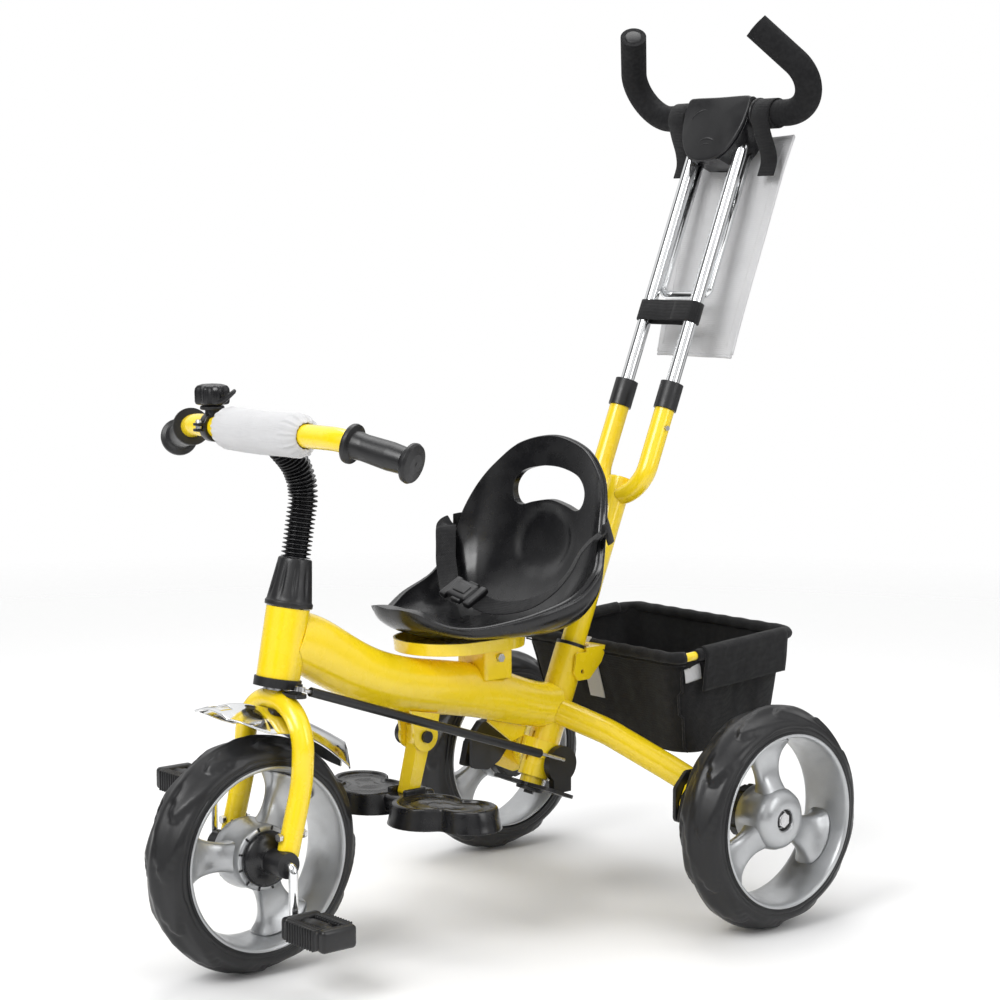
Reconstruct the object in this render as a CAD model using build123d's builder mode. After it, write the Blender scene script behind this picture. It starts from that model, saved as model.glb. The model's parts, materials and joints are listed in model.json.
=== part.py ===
"""Children's tricycle with a push handle that also steers, a bucket seat and a rear basket.

Lengths are millimetres. While a piece is being shaped, the point on the ground under the front
axle is the zero point: +X is the rider's left, -Y is forwards and +Z is up. save() then moves
the piece to the model's own origin, which is the middle of the tricycle's outline on the ground.
"""

from build123d import *
from math import atan2, cos, degrees, radians, sin
import os

# Driving dimensions
AXLE_AHEAD = 295.5          # front axle ahead of the model's origin
WHEEL_R = 125.0
TYRE_W = 60.0
RIM_R = 95.0
WHEELBASE = 527.0
REAR_HALF_TRACK = 234.0
AXLE_R = 5.0
RUNNING = 0.05              # radial clearance of a running fit
GAP = 0.4                   # air between neighbouring pieces that only look closed

HEAD_LEAN = 10.7            # degrees from upright
HEAD_RING = (0, 33.6, 301.5)
HEAD_TUBE_R = 23.0
STEERER_R = 14.0
FORK_TUBE_R = 11.5
FORK_HALF = 52.0
FORK_TOP = 284.0

BAR_R = 12.0
BAR_Y = 20.0
BAR_Z = 563.0
STEM_R = 10.0
HOSE_R = 15.5

SEAT_LEAN = 22.0
SEAT_TUBE_FOOT = (0, 325 + 150 * 0.404, 150)
SEAT_TUBE_R = 18.5
SEAT_TUBE_LEN = 155.0
POST_R = 14.0
YOKE_HALF = 38.0
YOKE_R = 11.5
CHROME_R = 8.0
YOKE_FOOT = 339.0           # along the post's axis, from the foot of the seat tube
YOKE_TOP = 446.0
HUB_HALF = 52.0             # half the width of the hub that joins the tubes to the bar
GRIP_LINE = 814.0
LOOP_BACK = -14.0           # the wire loop behind the two tubes, which the bag leans on
LOOP_R = 5.0
FOAM_R = 15.5

CRANK = 57.0
PEDAL_OUT = 148.0
STEER_ARM = 40.0            # offset of both steering pins from their turning axes

FORK_LOW = (8.0, 133.0)     # Y and Z of the fork legs' open ends
FORK_KNEE = (27.0, 205.0)
FORK_CROWN_Y = 30.0
STEM_KNEE = (0, 72.5, 515)
STEM_TOP = (0, BAR_Y + 8, BAR_Z - 3)
BAR_END = (207.0, 50.0, 543.0)
BAR_BEND_X = 130.0
BELL_X = -92.0
BACKBONE_W = 48.0
BACKBONE = (                # Y and Z of the middle, and height, of each oval section
    (50, 345, 62), (105, 318, 65), (147, 296, 62), (216, 276, 60),
    (275, 265.5, 60), (353, 244, 55), (412, 231, 52),
)
BRAKE_PIVOT = (459.0, 160.0)        # Y and Z of the brake levers' pins
SEAT_MIDDLE = 296.0
SEAT_PLAN = (               # right half of the bucket's outline: nose, hip and back
    (0, 164), (32, 168), (60, 202), (84, 240), (106, 280), (123, 320), (130, 357), (116, 402),
    (68, 424), (0, 428),
)
SEAT_OUTER = ((327, 0.62), (342, 0.88), (356, 0.97), (545, 1.0))    # height, and size of the outline
SEAT_INNER = ((337, 0.54), (350, 0.80), (362, 0.88), (546, 0.915))
FOOT_PIVOT = (219.0, 221.0)         # Y and Z of the footrest's hinge pin
STEER_PIN_FRONT = (STEER_ARM, 33.5, 300.0)
STEER_PIN_REAR = (STEER_ARM + 1.5, 395.7, 175.0)
STEER_PIN_R = 2.5

ALONG_HEAD = (0, sin(radians(HEAD_LEAN)), cos(radians(HEAD_LEAN)))
ALONG_POST = (0, sin(radians(SEAT_LEAN)), cos(radians(SEAT_LEAN)))
HEAD = Plane(origin=HEAD_RING, x_dir=(1, 0, 0), z_dir=ALONG_HEAD)
POST = Plane(origin=SEAT_TUBE_FOOT, x_dir=(1, 0, 0), z_dir=ALONG_POST)
HANDLE = Plane(origin=SEAT_TUBE_FOOT, x_dir=(1, 0, 0), z_dir=(0, -ALONG_POST[2], ALONG_POST[1]))


def save(piece, node):
    """Move a finished piece to the model's origin and write it."""
    piece.part = piece.part.moved(Location((0, -AXLE_AHEAD, 0)))
    piece.part.label = node
    export_step(piece.part, f"parts/{node}.step")


def on_head(distance):
    """The point on the head tube's axis at a distance above the lower ring."""
    return HEAD.from_local_coords((0, 0, distance))


def on_post(distance):
    """The point on the seat tube's axis at a distance above its foot."""
    return POST.from_local_coords((0, 0, distance))


def on_handle(x, along, out=0.0):
    """A point of the push handle: across, along the post's axis, and out towards the rider."""
    return HANDLE.from_local_coords((x, along, out))


def rod(start, end, radius, hollow=0.0):
    """A straight round bar, or a tube, inside the part that is being built."""
    run = Vector(end) - Vector(start)
    with BuildSketch(Plane(origin=start, z_dir=run)) as section:
        Circle(radius)
        if hollow:
            Circle(hollow, mode=Mode.SUBTRACT)
    extrude(section.sketch, amount=run.length)


def cut_rod(start, end, radius):
    """A straight round hole through the part that is being built."""
    run = Vector(end) - Vector(start)
    with BuildSketch(Plane(origin=start, z_dir=run)) as section:
        Circle(radius)
    extrude(section.sketch, amount=run.length, mode=Mode.SUBTRACT)


def bent_tube(points, bend, radius, hollow=0.0, mode=Mode.ADD):
    """A round tube through the points, bent at each of them."""
    with BuildLine() as path:
        FilletPolyline(*points, radius=bend)
    with BuildSketch(Plane(origin=path.line @ 0, z_dir=path.line % 0)) as section:
        Circle(radius)
        if hollow:
            Circle(hollow, mode=Mode.SUBTRACT)
    sweep(section.sketch, path=path.line, mode=mode)


def turned(plane, outline):
    """A solid of revolution about the plane's own Y axis, inside the part being built."""
    with BuildSketch(plane) as section:
        with BuildLine():
            Polyline(*outline, close=True)
        make_face()
    revolve(section.sketch, axis=Axis(plane.origin, plane.y_dir))


# ---------------------------------------------------------------- wheels

def wheel_plane(centre, outward):
    """Plane with its Y axis along the axle, pointing out of the tricycle."""
    return Plane(origin=centre, x_dir=(0, 0, 1), z_dir=Vector(0, 0, 1).cross(Vector(outward, 0, 0)))


def make_tyre(node, centre):
    half = TYRE_W / 2
    shoulder = half - 9
    with BuildPart() as tyre:
        with BuildSketch(wheel_plane(centre, 1)):
            with BuildLine():
                Polyline((RIM_R + 7, -half), (RIM_R - 1, -half), (RIM_R - 1, half), (RIM_R + 7, half))
                crown = ThreePointArc((WHEEL_R - 2, 13), (WHEEL_R, 0), (WHEEL_R - 2, -13))
                for hand, end in ((1, 0), (-1, 1)):
                    Spline(
                        (RIM_R + 7, hand * half),
                        (WHEEL_R - 8, hand * shoulder),
                        crown @ end,
                        tangents=((1, 0), (0.3, -hand * 0.95)),
                    )
            make_face()
        revolve(axis=Axis(centre, (1, 0, 0)))
    save(tyre, node)


def spoke_window(turn, half_angle, inner, outer, waist):
    """One of the openings between two spokes, in the sketch that is being drawn."""
    lean = radians(turn)
    reach = radians(half_angle)
    near = [(inner * cos(lean + a), inner * sin(lean + a)) for a in (-reach * 0.9, 0, reach * 0.9)]
    far = [(outer * cos(lean + a), outer * sin(lean + a)) for a in (-reach * waist, 0, reach * waist)]
    with BuildLine() as outline:
        ThreePointArc(*near)
        ThreePointArc(*far)
        side_r = 0.5 * (inner + outer)
        for hand in (-1, 1):
            end = 0 if hand < 0 else 2
            middle = lean + hand * reach * 1.08
            ThreePointArc(near[end], (side_r * cos(middle), side_r * sin(middle)), far[end])
    make_face(outline.edges())


def rim_body(centre, outward, first_spoke, hub_r, hub_in, hub_out, bore):
    """Deep barrel, three broad dished spokes and a hub; the recess is on the outer side."""
    half = TYRE_W / 2
    plane = wheel_plane(centre, outward)
    barrel_r = RIM_R - 6
    turned(plane, [
        (RIM_R - 1.1, -half), (RIM_R - 1.1, half), (RIM_R - 1.1, half + 0.6), (RIM_R - 4, half + 0.6),
        (barrel_r, half - 8), (barrel_r - 3, 0), (barrel_r - 3, -half + 8), (RIM_R - 4, -half),
    ])
    turned(plane, [
        (bore, -hub_in), (hub_r - 4, -hub_in), (hub_r, -hub_in + 4), (hub_r + 14, -12),
        (barrel_r - 12, -14), (barrel_r - 2, -20), (barrel_r - 2, 6), (barrel_r - 14, 2),
        (hub_r + 12, 4), (hub_r, hub_out - 8), (hub_r - 3, hub_out), (bore, hub_out),
    ])
    with BuildSketch(Plane(origin=centre, x_dir=(0, 1, 0), z_dir=(1, 0, 0)).offset(-half - 2)) as windows:
        for number in range(3):
            spoke_window(first_spoke + 60 + 120 * number, 38, hub_r + 1.5, barrel_r - 3.2, 0.86)
    extrude(windows.sketch, amount=2 * half + 4, mode=Mode.SUBTRACT)


def make_front_wheel():
    centre = (0, 0, WHEEL_R)
    make_tyre("front_tyre", centre)
    with BuildPart() as rim:
        rim_body(centre, 1, 60, 34, 24, 24, AXLE_R + RUNNING)
        for number in range(12):
            turn = radians(30 * number)
            notch = (24, 30.5 * cos(turn), WHEEL_R + 30.5 * sin(turn))
            for hand in (-1, 1):
                with BuildSketch(Plane(origin=(hand * 24, notch[1], notch[2]), z_dir=(-hand, 0, 0))):
                    Circle(1.4)
                extrude(amount=3, mode=Mode.SUBTRACT)
    save(rim, "front_rim")
    bore = AXLE_R + RUNNING
    with BuildPart() as covers:
        for hand in (1, -1):
            turned(wheel_plane((0, 0, WHEEL_R), hand), [
                (bore, 24.2), (27.5, 24.2), (28.5, 27), (26.5, 32), (21, 35.5), (12, 36.6),
                (11, 37.4), (bore, 37.4),
            ])
    save(covers, "clutch_covers")


def make_rear_wheels():
    for hand, side in ((1, "left"), (-1, "right")):
        centre = (hand * REAR_HALF_TRACK, WHEELBASE, WHEEL_R)
        make_tyre(f"rear_tyre_{side}", centre)
        with BuildPart() as rim:
            rim_body(centre, hand, 95, 33, 20, 26, 6 + RUNNING)
            with BuildSketch(Plane(origin=(hand * (REAR_HALF_TRACK + 26), WHEELBASE, WHEEL_R),
                                   z_dir=(-hand, 0, 0))):
                Circle(11)
            extrude(amount=8, mode=Mode.SUBTRACT)
        save(rim, f"rear_rim_{side}")
        with BuildPart() as drum:
            turned(wheel_plane(centre, hand), [
                (6 + RUNNING, -38), (27, -38), (31, -34), (31, -20.2), (6 + RUNNING, -20.2)])
            with BuildSketch(Plane(origin=(hand * (REAR_HALF_TRACK - 20.2), WHEELBASE, WHEEL_R),
                                   z_dir=(-hand, 0, 0))):
                with PolarLocations(31, 10):
                    Circle(3)
            extrude(amount=18, mode=Mode.SUBTRACT)
        save(drum, f"brake_drum_{side}")
    with BuildPart() as axles:
        for hand in (1, -1):
            inner = hand * (REAR_HALF_TRACK - 48)
            outer = hand * (REAR_HALF_TRACK + 24)
            rod((inner, WHEELBASE, WHEEL_R), (outer, WHEELBASE, WHEEL_R), 6)
            with BuildSketch(Plane(origin=(hand * (REAR_HALF_TRACK + 18.4), WHEELBASE, WHEEL_R),
                                   z_dir=(hand, 0, 0))):
                RegularPolygon(8.5, 6)
            extrude(amount=5)
    save(axles, "rear_axles")


# ---------------------------------------------------------------- fork and handlebar

def fork_tube(radius, hollow=0.0, mode=Mode.ADD):
    """The fork's one bent tube: two legs, knees and a round crown."""
    ends = [(hand * FORK_HALF, *FORK_LOW) for hand in (-1, 1)]
    knees = [(hand * FORK_HALF, *FORK_KNEE) for hand in (-1, 1)]
    corners = [(hand * FORK_HALF, FORK_CROWN_Y, FORK_TOP) for hand in (-1, 1)]
    bent_tube(
        (ends[0], knees[0], corners[0], corners[1], knees[1], ends[1]),
        (150, 48, 48, 150), radius, hollow, mode)


def make_fork():
    with BuildPart() as fork:
        fork_tube(FORK_TUBE_R, FORK_TUBE_R - 2)
        for hand in (-1, 1):
            cut_rod((hand * 30, 0, WHEEL_R), (hand * 80, 0, WHEEL_R), 13.5 + GAP)
            cut_rod((hand * FORK_HALF, -20, 152), (hand * FORK_HALF, 40, 152), 2.6)
    save(fork, "fork")

    with BuildPart() as bushes:
        for hand in (-1, 1):
            rod((hand * 38.5, 0, WHEEL_R), (hand * 65, 0, WHEEL_R), 13.5)
            rod((hand * FORK_HALF, 7.7, 132), (hand * FORK_HALF, 17.7, 170), FORK_TUBE_R - 2.2)
            cut_rod((hand * 30, 0, WHEEL_R), (hand * 80, 0, WHEEL_R), AXLE_R + RUNNING)
            cut_rod((hand * FORK_HALF, -20, 152), (hand * FORK_HALF, 40, 152), 2.6)
    save(bushes, "axle_bushes")

    with BuildPart() as bolts:
        for hand in (-1, 1):
            rod((hand * FORK_HALF, -2, 152), (hand * FORK_HALF, 28, 152), 2.5)
            for face, out in ((-0.6, -1), (26.6, 1)):
                with BuildSketch(Plane(origin=(hand * FORK_HALF, face, 152), z_dir=(0, out, 0))):
                    RegularPolygon(4.6, 6)
                extrude(amount=3.6)
    save(bolts, "fork_bolts")

    with BuildPart() as arm:
        pin_y = STEER_PIN_FRONT[1] - 0.2
        with BuildSketch(Plane.XY.offset(290.5)):
            with Locations((STEER_ARM, pin_y)):
                Circle(7)
            with Locations((STEER_ARM - 11, pin_y)):
                Rectangle(22, 14)
        extrude(amount=4)
        pin = Vector(STEER_PIN_FRONT)
        rod(pin - Vector(ALONG_HEAD) * 7, pin + Vector(ALONG_HEAD) * 5, STEER_PIN_R)
        cut_rod(on_head(-30), on_head(10), STEERER_R + GAP)
        fork_tube(FORK_TUBE_R + 0.05, mode=Mode.SUBTRACT)
    save(arm, "steering_arm")


def make_fender():
    """Arched wing over the front tyre, hung under the fork's crown."""
    half_width = 37.0
    with BuildPart() as fender:
        with BuildLine() as ridge:
            ThreePointArc((0, -62, 281), (0, 31, 267), (0, 120, 218))
        with BuildSketch(Plane(origin=ridge.line @ 0, x_dir=(-1, 0, 0), z_dir=ridge.line % 0)):
            with BuildLine():
                ThreePointArc((-half_width, -14), (0, 2), (half_width, -14))
                Line((half_width, -14), (half_width, -17))
                ThreePointArc((half_width, -17), (0, -1), (-half_width, -17))
                Line((-half_width, -17), (-half_width, -14))
            make_face()
        sweep(path=ridge.line)
        with BuildSketch(Plane.XY.offset(200)):
            with Locations((0, 29)):
                RectangleRounded(2 * half_width - 0.1, 182, 30)
        extrude(amount=100, mode=Mode.INTERSECT)
        rod((0, FORK_CROWN_Y, FORK_TOP - 17), (0, FORK_CROWN_Y, FORK_TOP - 8), 9)
        fork_tube(FORK_TUBE_R + 0.2, mode=Mode.SUBTRACT)
    save(fender, "fender")


def make_stem():
    pad_under = (0, 36, 551.5)
    with BuildPart() as stem:
        rod(on_head(-8), on_head(100), STEERER_R)
        bent_tube((on_head(98), STEM_KNEE, STEM_TOP), 60, STEM_R)
        cut_rod((-60, BAR_Y, BAR_Z), (60, BAR_Y, BAR_Z), BAR_R + 0.05)
        cut_rod((-30, FORK_CROWN_Y, FORK_TOP), (30, FORK_CROWN_Y, FORK_TOP), FORK_TUBE_R + 0.1)
    save(stem, "steerer")
    with BuildPart() as hose:
        bent_tube((on_head(131), STEM_KNEE, pad_under), 60, HOSE_R, STEM_R + 1.5)
        cut_rod((-60, BAR_Y, BAR_Z), (60, BAR_Y, BAR_Z), 24.9)
    save(hose, "stem_hose")
    with BuildPart() as cap:
        turned(Plane(origin=on_head(0), x_dir=(1, 0, 0), z_dir=Vector(1, 0, 0).cross(Vector(ALONG_HEAD))), [
            (STEERER_R + 0.1, 79), (25, 79), (25, 85), (23, 87), (21.5, 104), (18.5, 128), (17, 130),
            (STEM_R + 2, 130), (STEM_R + 2, 118), (STEERER_R + 0.1, 112)])
    save(cap, "headset_cap")


def make_handlebar():
    with BuildPart() as bar:
        ends = [(hand * BAR_END[0], BAR_END[1], BAR_END[2]) for hand in (-1, 1)]
        bends = [(hand * BAR_BEND_X, BAR_Y, BAR_Z) for hand in (-1, 1)]
        bent_tube((ends[0], bends[0], bends[1], ends[1]), 60, BAR_R, BAR_R - 1.6)
    save(bar, "handlebar")
    with BuildPart() as grips:
        for hand in (1, -1):
            start = Vector(hand * BAR_BEND_X, BAR_Y, BAR_Z)
            end = Vector(hand * BAR_END[0], BAR_END[1], BAR_END[2])
            reach = (end - start).length
            across = Vector(0, end.Z - start.Z, start.Y - end.Y)
            turned(Plane(origin=start, x_dir=across, z_dir=across.cross(end - start)), [
                (BAR_R + 0.05, 13), (20, 13), (20.5, 15), (20, 17.5), (14.5, 19.5), (13.6, 30),
                (14.6, 60), (13.6, reach - 8), (16, reach - 5), (20, reach - 3), (20.5, reach),
                (19, reach + 3), (10, reach + 4.5), (0, reach + 4.8), (0, reach + 0.2),
                (BAR_R + 0.05, reach + 0.2)])
    save(grips, "grips")
    with BuildPart() as pad:
        with BuildSketch(Plane(origin=(-76, BAR_Y, BAR_Z), x_dir=(0, 1, 0), z_dir=(1, 0, 0))):
            Circle(24.5)
            Circle(BAR_R + 0.3, mode=Mode.SUBTRACT)
        extrude(amount=152)
        cut_rod(STEM_KNEE, STEM_TOP, STEM_R + 0.8)
    save(pad, "handlebar_pad")


def make_bell():
    top = BAR_Z + 32
    with BuildPart() as bell:
        rod((BELL_X - 5, BAR_Y, BAR_Z), (BELL_X + 5, BAR_Y, BAR_Z), BAR_R + 3.5)
        rod((BELL_X, BAR_Y - 2, BAR_Z + 12), (BELL_X, BAR_Y - 2, top + 0.5), 6)
        cut_rod((BELL_X - 6, BAR_Y, BAR_Z), (BELL_X + 6, BAR_Y, BAR_Z), BAR_R + 0.05)
        turned(Plane(origin=(BELL_X, BAR_Y - 2, top), x_dir=(1, 0, 0), z_dir=(0, -1, 0)), [
            (0, 0), (16, 0), (17, 2), (17, 5), (15.5, 8), (11.5, 11), (6, 12.5), (0, 13)])
    save(bell, "bell")
    with BuildPart() as lever:
        with BuildSketch(Plane.XY.offset(top - 5.5)):
            with Locations((BELL_X, BAR_Y - 2)):
                Circle(12.5)
            with Locations((BELL_X + 20, BAR_Y + 1)):
                RectangleRounded(26, 9, 4)
            with Locations((BELL_X, BAR_Y - 2)):
                Circle(6 + RUNNING, mode=Mode.SUBTRACT)
        extrude(amount=5)
    save(lever, "bell_lever")


# ---------------------------------------------------------------- cranks and pedals

def make_cranks():
    axle_end = 66.0
    with BuildPart() as crank:
        bent_tube((
            (PEDAL_OUT + 1, 0, WHEEL_R - CRANK), (axle_end + 7, 0, WHEEL_R - CRANK),
            (axle_end + 7, 0, WHEEL_R), (-axle_end - 7, 0, WHEEL_R),
            (-axle_end - 7, 0, WHEEL_R + CRANK), (-PEDAL_OUT - 1, 0, WHEEL_R + CRANK),
        ), 6.5, AXLE_R)
        for hand in (1, -1):
            height = WHEEL_R - hand * CRANK
            rod((hand * (PEDAL_OUT + 0.5), 0, height), (hand * (PEDAL_OUT + 3.5), 0, height), 8)
    save(crank, "crank")
    for hand, side in ((1, "left"), (-1, "right")):
        height = WHEEL_R - hand * CRANK
        inner = axle_end + 14.6
        with BuildPart() as pedal:
            with BuildSketch(Plane(origin=(hand * inner, 0, height), x_dir=(0, 1, 0), z_dir=(hand, 0, 0))):
                RectangleRounded(44, 20, 5)
                Circle(AXLE_R + RUNNING, mode=Mode.SUBTRACT)
            extrude(amount=PEDAL_OUT - inner)
            for number in range(5):
                across = hand * (inner + 12 + 12 * number)
                with BuildSketch(Plane(origin=(across, 0, height), x_dir=(0, 1, 0), z_dir=(hand, 0, 0))):
                    RectangleRounded(52, 25, 4)
                    Circle(AXLE_R + RUNNING, mode=Mode.SUBTRACT)
                extrude(amount=6)
        save(pedal, f"pedal_{side}")


# ---------------------------------------------------------------- frame

def backbone_body(wall, mode=Mode.ADD):
    """The backbone's oval tube, each section shrunk by the wall thickness."""
    sections = []
    for index, (y, z, height) in enumerate(BACKBONE):
        before = BACKBONE[max(index - 1, 0)]
        after = BACKBONE[min(index + 1, len(BACKBONE) - 1)]
        run = Vector(0, after[0] - before[0], after[1] - before[1])
        with BuildSketch(Plane(origin=(0, y, z), x_dir=(1, 0, 0), z_dir=run)) as section:
            Ellipse(BACKBONE_W / 2 - wall, height / 2 - wall)
        sections.append(section.sketch)
    loft(sections, mode=mode)


def make_frame_tubes():
    with BuildPart() as head:
        with BuildSketch(HEAD.offset(4.6)):
            Circle(HEAD_TUBE_R)
            Circle(STEERER_R + 2.5, mode=Mode.SUBTRACT)
        extrude(amount=73.8)
    save(head, "head_tube")

    with BuildPart() as bushes:
        across = Plane(origin=on_head(0), x_dir=(1, 0, 0), z_dir=Vector(1, 0, 0).cross(Vector(ALONG_HEAD)))
        turned(across, [
            (STEERER_R + RUNNING, -5), (25, -5), (25, 4.5), (STEERER_R + 2.4, 4.5),
            (STEERER_R + 2.4, 20), (STEERER_R + RUNNING, 20)])
        turned(across, [
            (STEERER_R + RUNNING, 62), (STEERER_R + 2.4, 62),
            (STEERER_R + 2.4, 78.3), (STEERER_R + RUNNING, 78.3)])
        for low, high in ((0.3, 16), (SEAT_TUBE_LEN - 16, SEAT_TUBE_LEN + 0.4)):
            rod(on_post(low), on_post(high), POST_R + 2.4, POST_R + RUNNING)
        rod(on_post(SEAT_TUBE_LEN + 0.3), on_post(SEAT_TUBE_LEN + 4), SEAT_TUBE_R, POST_R + RUNNING)
    save(bushes, "tube_bushes")

    with BuildPart() as backbone:
        backbone_body(0)
        backbone_body(2, Mode.SUBTRACT)
        cut_rod(on_head(-20), on_head(100), HEAD_TUBE_R + 0.05)
        cut_rod(on_post(-30), on_post(200), SEAT_TUBE_R + 0.05)
    save(backbone, "backbone")

    with BuildPart() as seat_tube:
        with BuildSketch(POST.offset(22)):
            Circle(SEAT_TUBE_R + 3.5)
            with Locations((0, -SEAT_TUBE_R - 7)):
                Rectangle(14, 14)
        extrude(amount=20)
        with BuildSketch(POST):
            Circle(SEAT_TUBE_R)
        extrude(amount=SEAT_TUBE_LEN)
        cut_rod(on_post(-1), on_post(SEAT_TUBE_LEN + 1), POST_R + 2.5)
        with BuildSketch(POST.offset(16)):
            with Locations((0, -SEAT_TUBE_R - 8)):
                Rectangle(3, 20)
        extrude(amount=34, mode=Mode.SUBTRACT)
    save(seat_tube, "seat_tube")

    with BuildPart() as stays:
        for hand in (1, -1):
            bent_tube((
                (hand * 8, 408, 228), (hand * 62, 444, 204), (hand * 118, 484, 167),
                (hand * 178, WHEELBASE - 2, WHEEL_R + 2)), (150, 300), 15, 13)
        cut_rod(on_post(-30), on_post(200), SEAT_TUBE_R + 0.05)
        backbone_body(-0.05, Mode.SUBTRACT)
        for hand in (1, -1):
            with BuildSketch(Plane.YZ.offset(hand * 179)) as plate:
                with BuildLine():
                    Polyline((440, 138), (452, 164), (505, 163), (543, 140), (543, 110), (508, 108),
                             close=True)
                make_face()
                fillet(vertices(), 7)
            extrude(amount=hand * 4)
            cut_rod((hand * 120, WHEELBASE, WHEEL_R), (hand * 190, WHEELBASE, WHEEL_R), 6 + RUNNING)
            cut_rod((hand * 170, *BRAKE_PIVOT), (hand * 190, *BRAKE_PIVOT), 3.05)
    save(stays, "rear_stays")


def make_brakes():
    with BuildPart() as bolts:
        for hand in (1, -1):
            rod((hand * 178, *BRAKE_PIVOT), (hand * 195, *BRAKE_PIVOT), 3)
            rod((hand * 194, *BRAKE_PIVOT), (hand * 197, *BRAKE_PIVOT), 5)
            with BuildSketch(Plane.YZ.offset(hand * 25.1)):
                with Locations((314, 299)):
                    RegularPolygon(5, 6)
            extrude(amount=hand * 4)
    save(bolts, "frame_bolts")
    for hand, side in ((1, "left"), (-1, "right")):
        with BuildPart() as lever:
            with BuildSketch(Plane.YZ.offset(hand * 183.5)):
                with BuildLine():
                    Polyline((434, 124), (441, 152), (462, 175), (482, 178), (480, 168), (468, 160),
                             (456, 146), (450, 122), close=True)
                make_face()
                fillet(vertices(), 2.5)
            extrude(amount=hand * 10)
            cut_rod((hand * 170, *BRAKE_PIVOT), (hand * 200, *BRAKE_PIVOT), 3 + RUNNING)
        save(lever, f"brake_lever_{side}")


def make_brake_guards():
    """Black plates on the inner sides of the axle plates."""
    with BuildPart() as guards:
        for hand in (1, -1):
            with BuildSketch(Plane.YZ.offset(hand * 173.5)):
                with BuildLine():
                    Polyline((438, 122), (438, 160), (455, 177), (484, 177), (500, 164), (500, 146),
                             (482, 126), (464, 117), close=True)
                make_face()
                fillet(vertices(), 7)
            extrude(amount=hand * 4.3)
    save(guards, "brake_guards")


def make_frame_fittings():
    with BuildPart() as gusset:
        with BuildSketch(Plane.YZ.offset(-2)):
            with BuildLine():
                Polyline((318, 222), (352, 196), (368, 200), (392, 250), (330, 250), close=True)
            make_face()
        extrude(amount=4)
        cut_rod(on_post(-30), on_post(200), SEAT_TUBE_R + 0.1)
        backbone_body(-0.1, Mode.SUBTRACT)
    save(gusset, "gusset")

    with BuildPart() as bracket:
        with BuildSketch(Plane.XY.offset(270)):
            with Locations((0, 314)):
                RectangleRounded(50, 40, 4)
                RectangleRounded(44, 34, 2, mode=Mode.SUBTRACT)
        extrude(amount=43)
        backbone_body(-0.1, Mode.SUBTRACT)
        with BuildSketch(Plane.XY.offset(200)):
            with Locations((0, 314)):
                Rectangle(60, 60)
        extrude(amount=75, mode=Mode.SUBTRACT)
        with BuildSketch(Plane.XY.offset(312.5)):
            with Locations((0, 278)):
                SlotCenterToCenter(46, 108, rotation=90)
        extrude(amount=13.5, taper=-6)
        with BuildSketch(Plane.XY.offset(315.1)):
            with Locations((0, 278)):
                SlotCenterToCenter(46, 104, rotation=90)
        extrude(amount=12, taper=-6, mode=Mode.SUBTRACT)
    save(bracket, "seat_plate")

    with BuildPart() as hanger:
        with BuildSketch(Plane.YZ.offset(-14)):
            with BuildLine():
                Polyline((199, 252), (238, 244), (234, 222), (204, 222), close=True)
            make_face()
            with Locations(FOOT_PIVOT):
                Circle(16.5)
        extrude(amount=28)
        with BuildSketch(Plane.YZ.offset(-10)):
            with Locations((220, 225)):
                Rectangle(70, 90)
        extrude(amount=20, mode=Mode.SUBTRACT)
        backbone_body(-0.1, Mode.SUBTRACT)
        cut_rod((-30, *FOOT_PIVOT), (30, *FOOT_PIVOT), 4.05)
    save(hanger, "footrest_hanger")


def tray_outline(inwards):
    """Two lobes and the web between them, for each foot, in the sketch that is being drawn."""
    for hand in (-1, 1):
        with Locations((hand * 48, 192)):
            Circle(40 - inwards)
        with Locations((hand * 97, 213)):
            Circle(32 - inwards)
        with Locations((hand * 72, 204)):
            Rectangle(50, 58 - 2 * inwards)


def make_footrest():
    with BuildPart() as pin:
        rod((-16.5, *FOOT_PIVOT), (16.5, *FOOT_PIVOT), 4)
        rod((14.1, *FOOT_PIVOT), (18, *FOOT_PIVOT), 6.5)
        rod((-24, *FOOT_PIVOT), (-14.1, *FOOT_PIVOT), 14)
    save(pin, "footrest_hinge_pin")
    with BuildPart() as strut:
        with BuildSketch(Plane.YZ.offset(-9.5)):
            with BuildLine():
                Polyline((210, 233), (228, 233), (228, 212), (212, 157), (197, 157), (210, 212), close=True)
            make_face()
            fillet(vertices().group_by(Axis.Y)[0], 3)
        extrude(amount=19)
        cut_rod((-30, *FOOT_PIVOT), (30, *FOOT_PIVOT), 4 + RUNNING)
    save(strut, "footrest_strut")
    with BuildPart() as trays:
        with BuildSketch(Plane.XY.offset(136)):
            tray_outline(0)
            with Locations((0, 197)):
                Rectangle(60, 34)
        extrude(amount=24)
        with BuildSketch(Plane.XY.offset(146)):
            tray_outline(5)
        extrude(amount=30, mode=Mode.SUBTRACT)
        with BuildSketch(Plane.XY.offset(156.9)):
            with Locations((0, 204)):
                Rectangle(24, 24)
        extrude(amount=10, mode=Mode.SUBTRACT)
    save(trays, "footrest_trays")


# ---------------------------------------------------------------- seat

def seat_outline(scale):
    """The bucket's outline in plan: a rounded nose, hips and a round back."""
    right = [(x * scale, SEAT_MIDDLE + (y - SEAT_MIDDLE) * scale) for x, y in SEAT_PLAN]
    left = [(-x, y) for x, y in reversed(right[1:-1])]
    with BuildLine() as outline:
        Spline(*right, *left, periodic=True)
    make_face(outline.edges())


def seat_solid(levels, mode=Mode.ADD):
    """The bucket's body through its levels; it widens upwards."""
    sections = []
    for height, scale in levels:
        with BuildSketch(Plane.XY.offset(height)) as section:
            seat_outline(scale)
        sections.append(section.sketch)
    loft(sections, ruled=True, mode=mode)


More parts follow.
